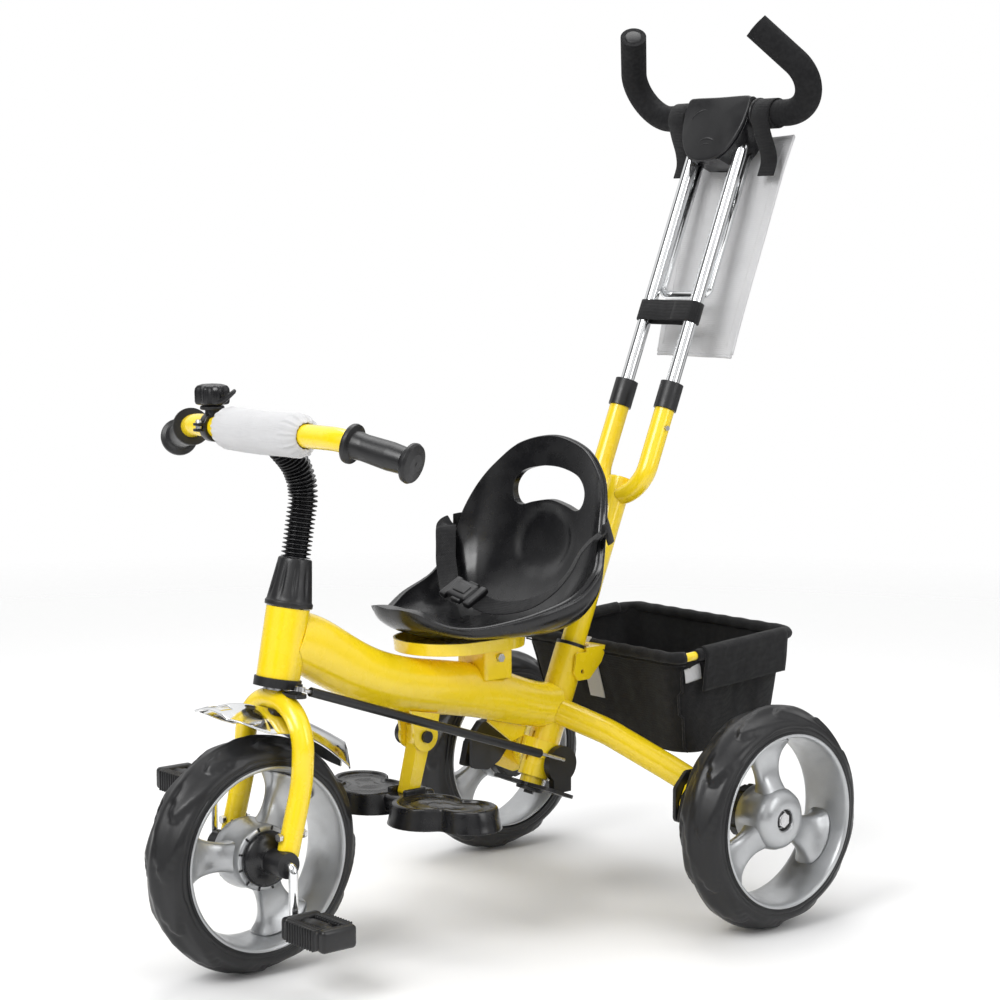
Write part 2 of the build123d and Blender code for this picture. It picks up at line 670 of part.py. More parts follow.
def make_seat():
    with BuildPart() as shell:
        seat_solid(SEAT_OUTER)
        seat_solid(SEAT_INNER, Mode.SUBTRACT)
        with BuildSketch(Plane.YZ.offset(-150)):
            with BuildLine():
                Polyline((150, 320), (150, 367), (180, 367))
                Spline((180, 367), (214, 347), (250, 344), (292, 357), (335, 373), (362, 400),
                       (379, 448), (392, 479), (405, 506), (425, 541))
                Polyline((425, 541), (450, 541), (450, 320), (150, 320))
            make_face()
        extrude(amount=300, mode=Mode.INTERSECT)
        with BuildSketch(Plane.XZ.offset(-450)):
            with BuildLine():
                Polyline((-145, 420), (-145, 300), (145, 300), (145, 420))
                Spline((145, 420), (124, 458), (104, 494), (60, 529), (0, 540),
                       (-60, 529), (-104, 494), (-124, 458), (-145, 420))
            make_face()
        extrude(amount=400, mode=Mode.INTERSECT)
        with BuildSketch(Plane.XZ.offset(-450)):
            with BuildLine():
                Polyline((-50, 457), (50, 457))
                Spline((50, 457), (61, 474), (50, 494), (0, 503), (-50, 494), (-61, 474), (-50, 457))
            make_face()
        extrude(amount=100, mode=Mode.SUBTRACT)
    save(shell, "seat_shell")

    with BuildPart() as belt:
        for start, end in (((-88, 352, 420), (-64, 323, 368)), ((92, 352, 420), (-17, 320, 366))):
            run = Vector(end) - Vector(start)
            with BuildSketch(Plane(origin=start, x_dir=(0, run.Z, -run.Y), z_dir=run)):
                RectangleRounded(24, 2, 0.9)
            extrude(amount=run.length)
        with BuildSketch(Plane.XY.offset(358)):
            with Locations((-40, 320)):
                RectangleRounded(44, 26, 5)
        extrude(amount=10)
    save(belt, "seat_belt")


# ---------------------------------------------------------------- push handle

def make_post():
    with BuildPart() as post:
        rod(on_post(-12), on_post(358), POST_R, POST_R - 2)
        rod(on_post(355), on_post(359.5), POST_R - 0.4)
    save(post, "push_post")

    with BuildPart() as yoke:
        points = [on_handle(-YOKE_HALF, YOKE_TOP), on_handle(-YOKE_HALF, YOKE_FOOT),
                  on_handle(YOKE_HALF, YOKE_FOOT), on_handle(YOKE_HALF, YOKE_TOP)]
        bent_tube(points, YOKE_HALF - 0.5, YOKE_R, YOKE_R - 2)
        cut_rod(on_post(200), on_post(400), POST_R + 0.05)
        cut_rod(on_handle(YOKE_HALF, 424), on_handle(YOKE_HALF + 20, 424), 3 + RUNNING)
    save(yoke, "yoke")

    with BuildPart() as sleeves:
        for hand in (-1, 1):
            across = hand * YOKE_HALF
            rod(on_handle(across, 446.1), on_handle(across, 478), 13.5, CHROME_R + RUNNING)
            rod(on_handle(across, 432), on_handle(across, 446.2), YOKE_R - 2.1, CHROME_R + RUNNING)
    save(sleeves, "yoke_sleeves")

    with BuildPart() as button:
        rod(on_handle(YOKE_HALF + CHROME_R + 2, 424), on_handle(YOKE_HALF + YOKE_R + 2.5, 424), 3)
    save(button, "snap_button")

    with BuildPart() as lever:
        with BuildSketch(POST.offset(-12)):
            Circle(POST_R + 3)
            with Locations((14, 8)):
                RectangleRounded(66, 44, 10)
            with Locations((-16, -12)):
                RectangleRounded(44, 36, 10)
            with Locations((-22, -16)):
                SlotCenterToCenter(12, 8, mode=Mode.SUBTRACT)
            Circle(POST_R + 0.05, mode=Mode.SUBTRACT)
        extrude(amount=4)
        hub = STEER_PIN_REAR
        with BuildSketch(Plane.YZ.offset(24)):
            with Locations((hub[1] + 6, hub[2] - 8)):
                Circle(21)
            with Locations((hub[1] + 6, 146)):
                Rectangle(26, 22)
        extrude(amount=8.5)
        rod(on_post(-12.5), on_post(-16), POST_R + 2)
        with BuildSketch(POST.offset(-15.5)):
            RegularPolygon(6, 6)
        extrude(amount=-4)
    save(lever, "steer_lever")


def make_steering_rod():
    front = Vector(STEER_PIN_FRONT)
    rear = Vector(STEER_PIN_REAR)
    along = (rear - front).normalized()
    with BuildPart() as wire:
        rod(front + along * 3, rear, 2)
        eye = Vector(ALONG_HEAD) * 2.4
        rod(front - eye, front + eye, 5.5)
        cut_rod(front - eye * 4, front + eye * 4, STEER_PIN_R + RUNNING)
    save(wire, "rod_wire")
    with BuildPart() as sleeve:
        rod(front + along * 14, rear - along * 38, 5, 2.05)
    save(sleeve, "rod_sleeve")


def make_upper_handle():
    with BuildPart() as tubes:
        for hand in (-1, 1):
            rod(on_handle(hand * YOKE_HALF, 404), on_handle(hand * YOKE_HALF, 778), CHROME_R)
        bent_tube([on_handle(-YOKE_HALF, 776, LOOP_BACK), on_handle(-YOKE_HALF, 592, LOOP_BACK),
                   on_handle(YOKE_HALF, 592, LOOP_BACK), on_handle(YOKE_HALF, 776, LOOP_BACK)],
                  10, LOOP_R)
        for hand in (-1, 1):
            for along in (600, 735):
                rod(on_handle(hand * YOKE_HALF, along, LOOP_BACK), on_handle(hand * YOKE_HALF, along), 3)
        for hand in (-1, 1):
            cut_rod(on_handle(hand * YOKE_HALF, 403), on_handle(hand * YOKE_HALF, 779), CHROME_R - 1)
    save(tubes, "handle_tubes")

    with BuildPart() as core:
        handle_bar(9.5, 7.8, 4)
    save(core, "handle_bar")
    with BuildPart() as foam:
        handle_bar(FOAM_R, 9.6, 0)
        with BuildSketch(HANDLE.offset(-300)):
            with Locations((0, 700)):
                Rectangle(2 * HUB_HALF + 0.6, 600)
        extrude(amount=600, mode=Mode.SUBTRACT)
    save(foam, "foam_grips")

    with BuildPart() as hub:
        with BuildSketch(HANDLE.offset(-20.5)):
            with BuildLine():
                Polyline((-HUB_HALF, 802), (-HUB_HALF, 829), (HUB_HALF, 829), (HUB_HALF, 802))
                Spline((HUB_HALF, 802), (45, 774), (24, 751))
                Line((24, 751), (-24, 751))
                Spline((-24, 751), (-45, 774), (-HUB_HALF, 802))
            make_face()
        extrude(amount=37.5)
        cut_rod(on_handle(-100, GRIP_LINE), on_handle(100, GRIP_LINE), 9.55)
        for hand in (-1, 1):
            cut_rod(on_handle(hand * YOKE_HALF, 740), on_handle(hand * YOKE_HALF, 779), CHROME_R + 0.05)
            cut_rod(on_handle(hand * YOKE_HALF, 740, LOOP_BACK), on_handle(hand * YOKE_HALF, 777, LOOP_BACK),
                    LOOP_R + 0.05)
        with BuildSketch(HANDLE.offset(12)):
            with Locations((0, 768)):
                Rectangle(36.6, 16.6)
        extrude(amount=8, mode=Mode.SUBTRACT)
    save(hub, "handle_hub")
    with BuildPart() as button:
        with BuildSketch(HANDLE.offset(13.5)):
            with Locations((0, 768)):
                RectangleRounded(36, 16, 5)
        extrude(amount=5.5)
    save(button, "release_button")

    with BuildPart() as webbing:
        for hand in (-1, 1):
            rod(on_handle(hand * 55, GRIP_LINE), on_handle(hand * 83, GRIP_LINE), FOAM_R + 2.2, FOAM_R + 0.3)
        with BuildSketch(POST.offset(553)):
            SlotCenterToCenter(2 * YOKE_HALF, 2 * CHROME_R + 5)
            SlotCenterToCenter(2 * YOKE_HALF, 2 * CHROME_R + 0.6, mode=Mode.SUBTRACT)
        extrude(amount=24)
    save(webbing, "webbing_straps")
    with BuildPart() as bag:
        with BuildSketch(Plane(origin=(0, 716, 878), x_dir=(1, 0, 0), z_dir=(0, -0.956, 0.293))):
            with BuildLine():
                Polyline((-86, 0), (86, 0), (62, -268), (-62, -268), close=True)
            make_face()
            fillet(vertices(), 6)
        extrude(amount=5)
    save(bag, "handle_bag")


def handle_bar(radius, hollow, short):
    """Ram's-horn bar: straight across the hub, bent up and forwards at both ends."""
    tips = [(hand * 101, 631, 1000) for hand in (-1, 1)]
    corners = [(hand * 166, 695, 918) for hand in (-1, 1)]
    inner = [on_handle(hand * 100, GRIP_LINE) for hand in (-1, 1)]
    if short:
        tips = [tuple(Vector(tip) + (Vector(corner) - Vector(tip)).normalized() * short)
                for tip, corner in zip(tips, corners)]
    points = (tips[0], corners[0], inner[0], inner[1], corners[1], tips[1])
    bent_tube(points, (40, 50, 50, 40), radius, hollow)


# ---------------------------------------------------------------- basket

def make_basket():
    with BuildPart() as carrier:
        with BuildLine() as path:
            FilletPolyline((135, 482, 292), (135, 668, 304), (-135, 668, 304), (-135, 482, 292),
                           radius=16, close=True)
        with BuildSketch(Plane(origin=path.line @ 0, z_dir=path.line % 0)):
            Circle(5)
        sweep(path=path.line)
        with BuildSketch(Plane.XY.offset(290)):
            with Locations((0, 464)):
                Rectangle(44, 34)
        extrude(amount=5)
        cut_rod(on_post(-30), on_post(200), SEAT_TUBE_R + 0.1)
        with BuildSketch(Plane.YZ.offset(19)):
            with BuildLine():
                Polyline((432, 290), (477, 290), (470, 276), (452, 258), (434, 258), (428, 268), close=True)
            make_face()
            fillet(vertices(), 4)
        extrude(amount=3)
        cut_rod((10, 441, 268), (30, 441, 268), 2.5)
    save(carrier, "basket_carrier")
    with BuildPart() as basket:
        with BuildSketch(Plane.XY.offset(172)):
            with Locations((0, 586)):
                RectangleRounded(236, 146, 14)
        with BuildSketch(Plane.XY.offset(300)):
            with Locations((0, 575)):
                RectangleRounded(256, 172, 14)
        loft()
        with BuildSketch(Plane.XY.offset(175)):
            with Locations((0, 586)):
                RectangleRounded(230, 140, 11)
        with BuildSketch(Plane.XY.offset(300.1)):
            with Locations((0, 575)):
                RectangleRounded(250, 166, 11)
        loft(mode=Mode.SUBTRACT)
    save(basket, "basket")


os.makedirs("parts", exist_ok=True)
make_front_wheel()
make_rear_wheels()
make_fork()
make_fender()
make_stem()
make_handlebar()
make_bell()
make_cranks()
make_frame_tubes()
make_brakes()
make_brake_guards()
make_frame_fittings()
make_footrest()
make_seat()
make_post()
make_steering_rod()
make_upper_handle()
make_basket()
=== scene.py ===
"""Looks of the children's tricycle: its materials and its detailed pieces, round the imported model.

Shapes are given in millimetres from the point on the ground under the front axle, as the model's
source gives them: +X is the rider's left, -Y forwards and +Z up. at() turns them into metres in
the model's own frame.
"""

import json
import math

import bmesh
import bpy
from mathutils import Matrix, Vector, noise


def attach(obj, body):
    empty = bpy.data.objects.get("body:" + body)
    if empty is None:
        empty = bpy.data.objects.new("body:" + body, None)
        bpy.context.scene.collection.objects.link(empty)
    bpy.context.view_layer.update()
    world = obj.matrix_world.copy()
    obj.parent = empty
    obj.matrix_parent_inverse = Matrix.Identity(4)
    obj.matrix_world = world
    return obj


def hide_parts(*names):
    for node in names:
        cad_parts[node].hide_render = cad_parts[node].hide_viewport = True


AXLE_AHEAD = 295.5              # the front axle, ahead of the model's own origin
WHEEL_R = 125.0
FRONT_AXLE = (0, 0, WHEEL_R)
WHEELBASE = 527.0
REAR_HALF_TRACK = 234.0
TREAD_LEAVES = 12
BAR = (20.0, 563.0)             # Y and Z of the handlebar's middle
BELL_X = -92
HEAD_RING = Vector((0, 33.6, 301.5))        # the steering axis starts here
HEAD_LEAN = math.radians(10.7)
ALONG_HEAD = Vector((0, math.sin(HEAD_LEAN), math.cos(HEAD_LEAN)))
SEAT_LEAN = math.radians(22)
ALONG_POST = Vector((0, math.sin(SEAT_LEAN), math.cos(SEAT_LEAN)))
OUT_OF_HANDLE = Vector((0, -ALONG_POST.z, ALONG_POST.y))
SEAT_TUBE_FOOT = Vector((0, 385.6, 150))
YOKE_HALF = 38.0                # from the handle's middle to each chrome tube
CROSS_TUBE = 814                # the foam handle's cross tube, along the handle
FOAM_TIP, FOAM_KNEE = (101, 631, 1000), (166, 695, 918)     # on the rider's left
UP = Vector((0, 0, 1))
BAG_TOP = (716, 878)            # Y and Z of the bag's upper edge
BAG_DOWN = Vector((0, -0.293, -0.956))
BAG_DROP = 268

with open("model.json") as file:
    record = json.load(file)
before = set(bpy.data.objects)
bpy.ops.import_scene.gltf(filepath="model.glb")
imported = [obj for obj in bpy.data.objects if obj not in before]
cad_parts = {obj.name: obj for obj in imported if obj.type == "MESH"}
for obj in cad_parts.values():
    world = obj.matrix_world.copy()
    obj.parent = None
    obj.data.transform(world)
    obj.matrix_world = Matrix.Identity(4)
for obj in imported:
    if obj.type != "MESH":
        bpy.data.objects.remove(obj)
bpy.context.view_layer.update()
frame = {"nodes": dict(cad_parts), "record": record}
scene = bpy.context.scene


def at(point):
    """Metres in the model's frame, from millimetres about the front axle's point on the ground."""
    return (Vector(point) - Vector((0, AXLE_AHEAD, 0))) / 1000


def on_head(distance):
    return HEAD_RING + ALONG_HEAD * distance


def on_handle(x, along, out=0.0):
    return SEAT_TUBE_FOOT + Vector((x, 0, 0)) + ALONG_POST * along + OUT_OF_HANDLE * out


# ---------------------------------------------------------------- materials

def add_node(tree, kind, inputs=(), **settings):
    """A shader node; its inputs are given values or other nodes' outputs."""
    made = tree.nodes.new(kind)
    for key, value in settings.items():
        setattr(made, key, value)
    for key, value in dict(inputs).items():
        if isinstance(value, bpy.types.NodeSocket):
            tree.links.new(value, made.inputs[key])
        else:
            made.inputs[key].default_value = value
    return made


class Look:
    """A Principled material that is built up from procedural textures."""

    def __init__(self, name, colour, roughness, metallic=0.0, **sockets):
        self.material = bpy.data.materials.new(name)
        self.material.use_nodes = True
        self.tree = self.material.node_tree
        self.shader = self.tree.nodes["Principled BSDF"]
        self.colour = (*colour, 1)
        self.shader.inputs["Base Color"].default_value = self.colour
        self.shader.inputs["Roughness"].default_value = roughness
        self.shader.inputs["Metallic"].default_value = metallic
        for socket, value in sockets.items():
            self.shader.inputs[socket.replace("_", " ")].default_value = value
        self.place = self.tree.nodes.new("ShaderNodeTexCoord").outputs["Object"]

    def node(self, kind, inputs=(), **settings):
        return add_node(self.tree, kind, inputs, **settings)

    def noise(self, scale, detail=3.0):
        made = self.node("ShaderNodeTexNoise", {"Vector": self.place, "Scale": scale, "Detail": detail})
        return made.outputs["Fac"]

    def cells(self, scale):
        made = self.node("ShaderNodeTexVoronoi", {"Vector": self.place, "Scale": scale})
        return made.outputs["Distance"]

    def threads(self, per_metre):
        """A plain weave: bands along each axis, so every face of the cloth shows two of them."""
        total = None
        for direction in ("X", "Y", "Z"):
            wave = self.node("ShaderNodeTexWave", {
                "Vector": self.place, "Scale": per_metre / 20 * 6.2832, "Distortion": 0.6, "Detail": 1.0,
            }, bands_direction=direction).outputs["Fac"]
            total = wave if total is None else self.sum(total, wave)
        return total

    def sum(self, one, other):
        return self.node("ShaderNodeMath", {0: one, 1: other}, operation="ADD").outputs[0]

    def between(self, mask, low, high, bottom=0.35, top=0.65):
        made = self.node("ShaderNodeMapRange", {
            "Value": mask, "From Min": bottom, "From Max": top, "To Min": low, "To Max": high})
        return made.outputs["Result"]

    def tint(self, mask, colour):
        """Mix another colour into the base where the mask is 1."""
        base = self.shader.inputs["Base Color"]
        mix = self.node("ShaderNodeMix", data_type="RGBA")
        self.tree.links.new(mask, mix.inputs[0])
        if base.is_linked:
            self.tree.links.new(base.links[0].from_socket, mix.inputs[6])
        else:
            mix.inputs[6].default_value = self.colour
        mix.inputs[7].default_value = (*colour, 1)
        self.tree.links.new(mix.outputs[2], base)
        return self

    def roughen(self, mask, low, high):
        self.tree.links.new(self.between(mask, low, high), self.shader.inputs["Roughness"])
        return self

    def soft_edges(self, radius):
        """Round the look of sharp edges."""
        made = self.node("ShaderNodeBevel", {"Radius": radius}, samples=4)
        self.tree.links.new(made.outputs["Normal"], self.shader.inputs["Normal"])
        return self

    def edge_mask(self, radius):
        """1 along sharp edges and 0 on open faces."""
        soft = self.node("ShaderNodeBevel", {"Radius": radius}, samples=4).outputs["Normal"]
        plain = self.node("ShaderNodeNewGeometry").outputs["Normal"]
        likeness = self.node("ShaderNodeVectorMath", {0: soft, 1: plain}, operation="DOT_PRODUCT")
        return self.between(likeness.outputs["Value"], 1.0, 0.0, 0.80, 0.97)

    def bump(self, height, depth, strength=1.0):
        """Add relief of a depth in metres on top of what is already there."""
        made = self.node("ShaderNodeBump", {"Height": height, "Distance": depth, "Strength": strength})
        normal = self.shader.inputs["Normal"]
        if normal.is_linked:
            self.tree.links.new(normal.links[0].from_socket, made.inputs["Normal"])
        self.tree.links.new(made.outputs["Normal"], normal)
        return self


def paint_look():
    look = Look("yellow-paint", (0.96, 0.70, 0.010), 0.26, Coat_Weight=0.6, Coat_Roughness=0.08)
    look.tint(look.between(look.noise(9), 0.0, 0.15), (0.94, 0.67, 0.008))
    look.soft_edges(0.0012)
    # Painted highlight: a lighter, lit yellow along every sharp edge.
    look.tint(look.between(look.edge_mask(0.0012), 0.0, 0.3, 0.0, 1.0), (1.0, 0.80, 0.10))
    look.roughen(look.noise(60, 4), 0.20, 0.34)
    look.bump(look.noise(420, 2), 0.00012, 0.35)
    return look.material


def plastic_look(name, colour, low, high, grain, depth, **sockets):
    look = Look(name, colour, high, **sockets)
    lighter = tuple(min(1, 1.5 * part + 0.002) for part in colour)
    look.tint(look.between(look.noise(14, 4), 0.0, 0.5), lighter)
    look.soft_edges(0.0008)
    # Lighter grey along every sharp edge: partly rubbed wear, partly a painted highlight.
    rubbed_and_highlit = tuple(2.2 * part + 0.006 for part in colour)
    look.tint(look.between(look.edge_mask(0.0009), 0.0, 0.45, 0.0, 1.0), rubbed_and_highlit)
    look.roughen(look.noise(45, 4), low, high)
    look.bump(look.noise(grain, 3), depth, 0.5)
    return look.material


def silver_look():
    look = Look("silver-paint", (0.46, 0.47, 0.48), 0.34, 0.75, Coat_Weight=0.25, Coat_Roughness=0.2)
    look.tint(look.between(look.noise(7), 0.0, 0.4), (0.38, 0.39, 0.40))
    look.soft_edges(0.001)
    look.tint(look.between(look.noise(2600, 1), 0.0, 0.35, 0.5, 0.75), (0.70, 0.70, 0.71))
    look.roughen(look.noise(80, 4), 0.28, 0.42)
    look.bump(look.noise(1500, 2), 0.00006, 0.4)
    return look.material


def metal_look(name, colour, low, high, streaks):
    look = Look(name, colour, low, 1.0)
    look.tint(look.between(look.noise(30, 5), 0.0, 0.35), tuple(0.8 * part for part in colour))
    look.roughen(look.noise(streaks, 5), low, high)
    look.bump(look.noise(900, 3), 0.00003, 0.3)
    return look.material


def tyre_look():
    look = Look("tyre-foam", (0.009, 0.009, 0.010), 0.5, Specular_IOR_Level=0.4)
    look.tint(look.between(look.noise(18, 5), 0.0, 0.5), (0.020, 0.020, 0.021))
    look.roughen(look.noise(35, 5), 0.30, 0.46)
    look.bump(look.noise(700, 4), 0.00015, 0.5)
    look.bump(look.noise(40, 2), 0.0004, 0.3)
    return look.material


def fabric_look(name, colour, dark, threads, sheen):
    look = Look(name, colour, 0.85, Sheen_Weight=sheen, Sheen_Roughness=0.45, Specular_IOR_Level=0.2)
    weave = look.threads(threads)
    look.tint(look.between(look.noise(22, 5), 0.0, 0.5), dark)
    look.tint(look.between(weave, 0.35, 0.0, 0.8, 2.2), dark)
    look.roughen(look.noise(120, 3), 0.75, 0.95)
    look.bump(weave, 0.00035, 0.6)
    look.bump(look.noise(70, 3), 0.0012, 0.35)
    return look.material


def foam_look():
    look = Look("handle-foam", (0.008, 0.008, 0.009), 0.8, Specular_IOR_Level=0.25)
    look.tint(look.between(look.noise(25, 5), 0.0, 0.5), (0.016, 0.016, 0.017))
    look.roughen(look.noise(200, 3), 0.68, 0.9)
    look.bump(look.cells(900), 0.0002, 0.5)
    look.bump(look.noise(250, 3), 0.0002, 0.4)
    return look.material


BLACK = (0.008, 0.008, 0.009)
looks = {
    "yellow_paint": paint_look(),
    "black_plastic": plastic_look("black-plastic", BLACK, 0.30, 0.46, 800, 0.00010),
    "black_gloss": plastic_look("black-gloss", (0.006, 0.006, 0.007), 0.20, 0.33, 500, 0.00005),
    "silver_plastic": silver_look(),
    "chrome": metal_look("chrome", (0.86, 0.87, 0.88), 0.05, 0.14, 90),
    "steel": metal_look("steel", (0.62, 0.62, 0.63), 0.22, 0.38, 160),
    "tyre_foam": tyre_look(),
    "grey_fabric": fabric_look("grey-fabric", (0.75, 0.75, 0.76), (0.62, 0.62, 0.63), 1400, 0.25),
    "black_fabric": fabric_look("black-fabric", (0.014, 0.014, 0.015), (0.007, 0.007, 0.008), 1200, 0.12),
    "handle_foam": foam_look(),
}
own_looks = {
    "grips": plastic_look("grip-rubber", (0.008, 0.008, 0.009), 0.30, 0.44, 300, 0.00014),
}
webbing = fabric_look("webbing", (0.018, 0.018, 0.019), (0.008, 0.008, 0.009), 700, 0.15)


# ---------------------------------------------------------------- making meshes

def faces_of(rows, columns, loop_rows=False, loop_columns=False, first=0):
    """Quads of a grid whose points are numbered row by row."""
    made = []
    for row in range(rows if loop_rows else rows - 1):
        for column in range(columns if loop_columns else columns - 1):
            below = (row + 1) % rows
            beside = (column + 1) % columns
            made.append(tuple(first + k for k in (
                row * columns + column, row * columns + beside,
                below * columns + beside, below * columns + column)))
    return made


def turns(count):
    """Evenly spaced angles round a full turn."""
    return [2 * math.pi * index / count for index in range(count)]


def smooth(made):
    for polygon in made.data.polygons:
        polygon.use_smooth = True


def new_object(name, points, faces):
    mesh = bpy.data.meshes.new(name)
    mesh.from_pydata(points, [], faces)
    made = bpy.data.objects.new(name, mesh)
    scene.collection.objects.link(made)
    return made


def piece(name, points, faces, finish, body, replaces=(), look=None):
    """A smooth mesh piece riding on a body, in the look made for one of the record's material slots unless
    it is given a look of its own.
    """
    made = new_object(name, [at(p) for p in points], faces)
    made.data.validate()
    smooth(made)
    made.data.materials.append(look or looks[finish])
    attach(made, body)
    if replaces:
        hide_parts(*replaces)
    tidy_normals(made)
    return made


def tidy_normals(made):
    """Point the faces outwards."""
    work = bmesh.new()
    work.from_mesh(made.data)
    bmesh.ops.recalc_face_normals(work, faces=work.faces)
    work.to_mesh(made.data)
    work.free()


def patch(rows, loop_rows=False, loop_columns=False, caps=False):
    """Points and faces of rows of points; caps close the first and the last row."""
    points = [p for row in rows for p in row]
    faces = faces_of(len(rows), len(rows[0]), loop_rows, loop_columns)
    if caps:
        width = len(rows[0])
        faces.append(tuple(range(width))[::-1])
        faces.append(tuple(range(len(points) - width, len(points))))
    return points, faces


def join(*parts):
    """Several sets of points and faces as one."""
    points, faces = [], []
    for more_points, more_faces in parts:
        first = len(points)
        points += more_points
        faces += [tuple(first + k for k in face) for face in more_faces]
    return points, faces


def lathe(profile, centre, axis, count=96, swell=None):
    """Rows of a turned shape; profile holds (radius, distance along the axis)."""
    axis = Vector(axis).normalized()
    side = axis.orthogonal().normalized()
    other = axis.cross(side)
    rows = []
    for turn in turns(count):
        out = side * math.cos(turn) + other * math.sin(turn)
        row = []
        for radius, along in profile:
            grown = radius + (swell(turn, radius, along) if swell else 0)
            row.append(Vector(centre) + axis * along + out * grown)
        rows.append(row)
    return rows


def turned(profile, centre, axis, count=96, swell=None):
    """A turned shape whose profile is a closed loop."""
    return patch(lathe(profile, centre, axis, count, swell), True, True)


def turned_solid(profile, centre, axis, count=96, swell=None):
    """A turned shape whose profile starts and ends near the axis, closed by two caps."""
    rows = lathe(profile, centre, axis, count, swell)
    rings = [list(ring) for ring in zip(*rows)]
    return patch(rings, False, True, caps=True)


def curve_through(points, steps=8, closed=False):
    """Points of a smooth curve through the given ones."""
    points = [Vector(p) for p in points]
    count = len(points)
    made = []
    for index in range(count if closed else count - 1):
        if closed:
            a, b, c, d = (points[(index + k) % count] for k in (-1, 0, 1, 2))
        else:
            b, c = points[index], points[index + 1]
            a = points[index - 1] if index else b + (b - c)
            d = points[index + 2] if index + 2 < count else c + (c - b)
        for step in range(steps):
            t = step / steps
            made.append(0.5 * (
                2 * b + (c - a) * t + (2 * a - 5 * b + 4 * c - d) * t * t
                + (3 * b - a - 3 * c + d) * t ** 3))
    if not closed:
        made.append(points[-1])
    return made


def bent(points, radius, steps=10):
    """A path of straight runs joined by arcs."""
    points = [Vector(p) for p in points]
    made = [points[0]]
    for before, corner, after in zip(points, points[1:], points[2:]):
        back = (before - corner).normalized()
        ahead = (after - corner).normalized()
        half = 0.5 * (math.pi - back.angle(ahead))
        reach = radius * math.tan(half)
        start = corner + back * reach
        centre = corner + (back + ahead).normalized() * (radius / math.cos(half))
        end = corner + ahead * reach
        for step in range(steps + 1):
            spoke = (start - centre).lerp(end - centre, step / steps).normalized() * radius
            made.append(centre + spoke)
    return made + [points[-1]]


def even(path, count):
    """The same path with evenly spaced points."""
    lengths = [0.0]
    for one, other in zip(path, path[1:]):
        lengths.append(lengths[-1] + (other - one).length)
    made = []
    index = 0
    for step in range(count):
        want = lengths[-1] * step / (count - 1)
        while index < len(path) - 2 and lengths[index + 1] < want:
            index += 1
        span = lengths[index + 1] - lengths[index] or 1
        made.append(path[index].lerp(path[index + 1], (want - lengths[index]) / span))
    return made


def directions_of(path, closed=False):
    """The way along a path at every point of it."""
    made = []
    for index in range(len(path)):
        before = path[index - 1] if index or closed else path[0]
        after = path[(index + 1) % len(path)] if index + 1 < len(path) or closed else path[-1]
        made.append((after - before).normalized())
    return made


def frames_along(path, closed=False):
    """A pair of cross directions at every point of a path, without twist."""
    tangents = directions_of(path, closed)
    side = tangents[0].orthogonal().normalized()
    pairs = []
    for tangent in tangents:
        side = (side - tangent * side.dot(tangent)).normalized()
        pairs.append((side, tangent.cross(side)))
    return pairs


def tube(path, radius, sides=20, closed=False, caps=True):
    """A round tube; radius may be a number or a function of the way along and the turn."""
    rows = []
    for index, (point, (side, other)) in enumerate(zip(path, frames_along(path, closed))):
        way = index / max(1, len(path) - 1)
        row = []
        for turn in turns(sides):
            size = radius(way, turn) if callable(radius) else radius
            row.append(point + (side * math.cos(turn) + other * math.sin(turn)) * size)
        rows.append(row)
    return patch(rows, closed, True, caps=caps and not closed)


STRAP_SECTION = (               # across and out, as shares of the strap's width and thickness
    (-0.5, 0.25), (-0.46, 0.5), (0.46, 0.5), (0.5, 0.25),
    (0.5, -0.25), (0.46, -0.5), (-0.46, -0.5), (-0.5, -0.25),
)


def strap_row(point, across, out, width, thick):
    return [point + across * (u * width) + out * (v * thick) for u, v in STRAP_SECTION]


def ribbon(path, facing, width, thick):
    """A flat strap with soft corners; facing gives the direction its face looks in at each point."""
    rows = []
    for index, (point, along) in enumerate(zip(path, directions_of(path))):
        way = index / max(1, len(path) - 1)
        face = Vector(facing(way) if callable(facing) else facing)
        face = (face - along * face.dot(along)).normalized()
        rows.append(strap_row(point, along.cross(face), face, width, thick))
    return patch(rows, False, True, caps=True)


def band(path, outward, across, width, thick):
    """A closed loop of webbing, from its middle line and the way out at each point of it."""
    rows = [strap_row(point, across, out, width, thick) for point, out in zip(path, outward)]
    return patch(rows, True, True)


def rounded_box(centre, size, radius, turn=None, steps=3):
    """A box with rounded edges, as points and faces."""
    half = [max(0.01, 0.5 * s - radius) for s in size]
    spin = turn or Matrix.Identity(3)
    rows = []
    for ring in range(2 * steps + 2):
        top = ring > steps
        angle = -math.pi / 2 + (ring - top) * math.pi / 2 / steps
        height = (half[2] if top else -half[2]) + radius * math.sin(angle)
        shrink = math.cos(angle) * radius
        row = []
        for corner, (sx, sy) in enumerate(((1, 1), (-1, 1), (-1, -1), (1, -1))):
            for step in range(steps + 1):
                way = math.pi / 2 * (corner + step / steps)
                local = Vector((
                    sx * half[0] + shrink * math.cos(way), sy * half[1] + shrink * math.sin(way), height))
                row.append(Vector(centre) + spin @ local)
        rows.append(row)
    return patch(rows, False, True, caps=True)


def modifier(made, kind, **settings):
    added = made.modifiers.new(kind.lower(), kind)
    for key, value in settings.items():
        setattr(added, key, value)
    return added


def subdivide(made, levels=1):
    modifier(made, "SUBSURF", levels=levels, render_levels=levels)


def bevel(made, width, segments=2, **more):
    modifier(made, "BEVEL", width=width, segments=segments, limit_method="ANGLE", **more)


def apply_modifiers(made):
    """Replace the mesh by what its modifiers make of it."""
    graph = bpy.context.evaluated_depsgraph_get()
    mesh = bpy.data.meshes.new_from_object(made.evaluated_get(graph))
    made.modifiers.clear()
    made.data = mesh


def thicken(made, thick):
    """Give a cloth its thickness, half of it to each side."""
    modifier(made, "SOLIDIFY", thickness=thick, offset=0.0)
    apply_modifiers(made)
    smooth(made)


def cap_moves(made, before, most):
    """Pull every point back to within a distance of where it was."""
    for point, start in zip(made.data.vertices, before):
        move = point.co - start
        if move.length > most:
            point.co = start + move.normalized() * most


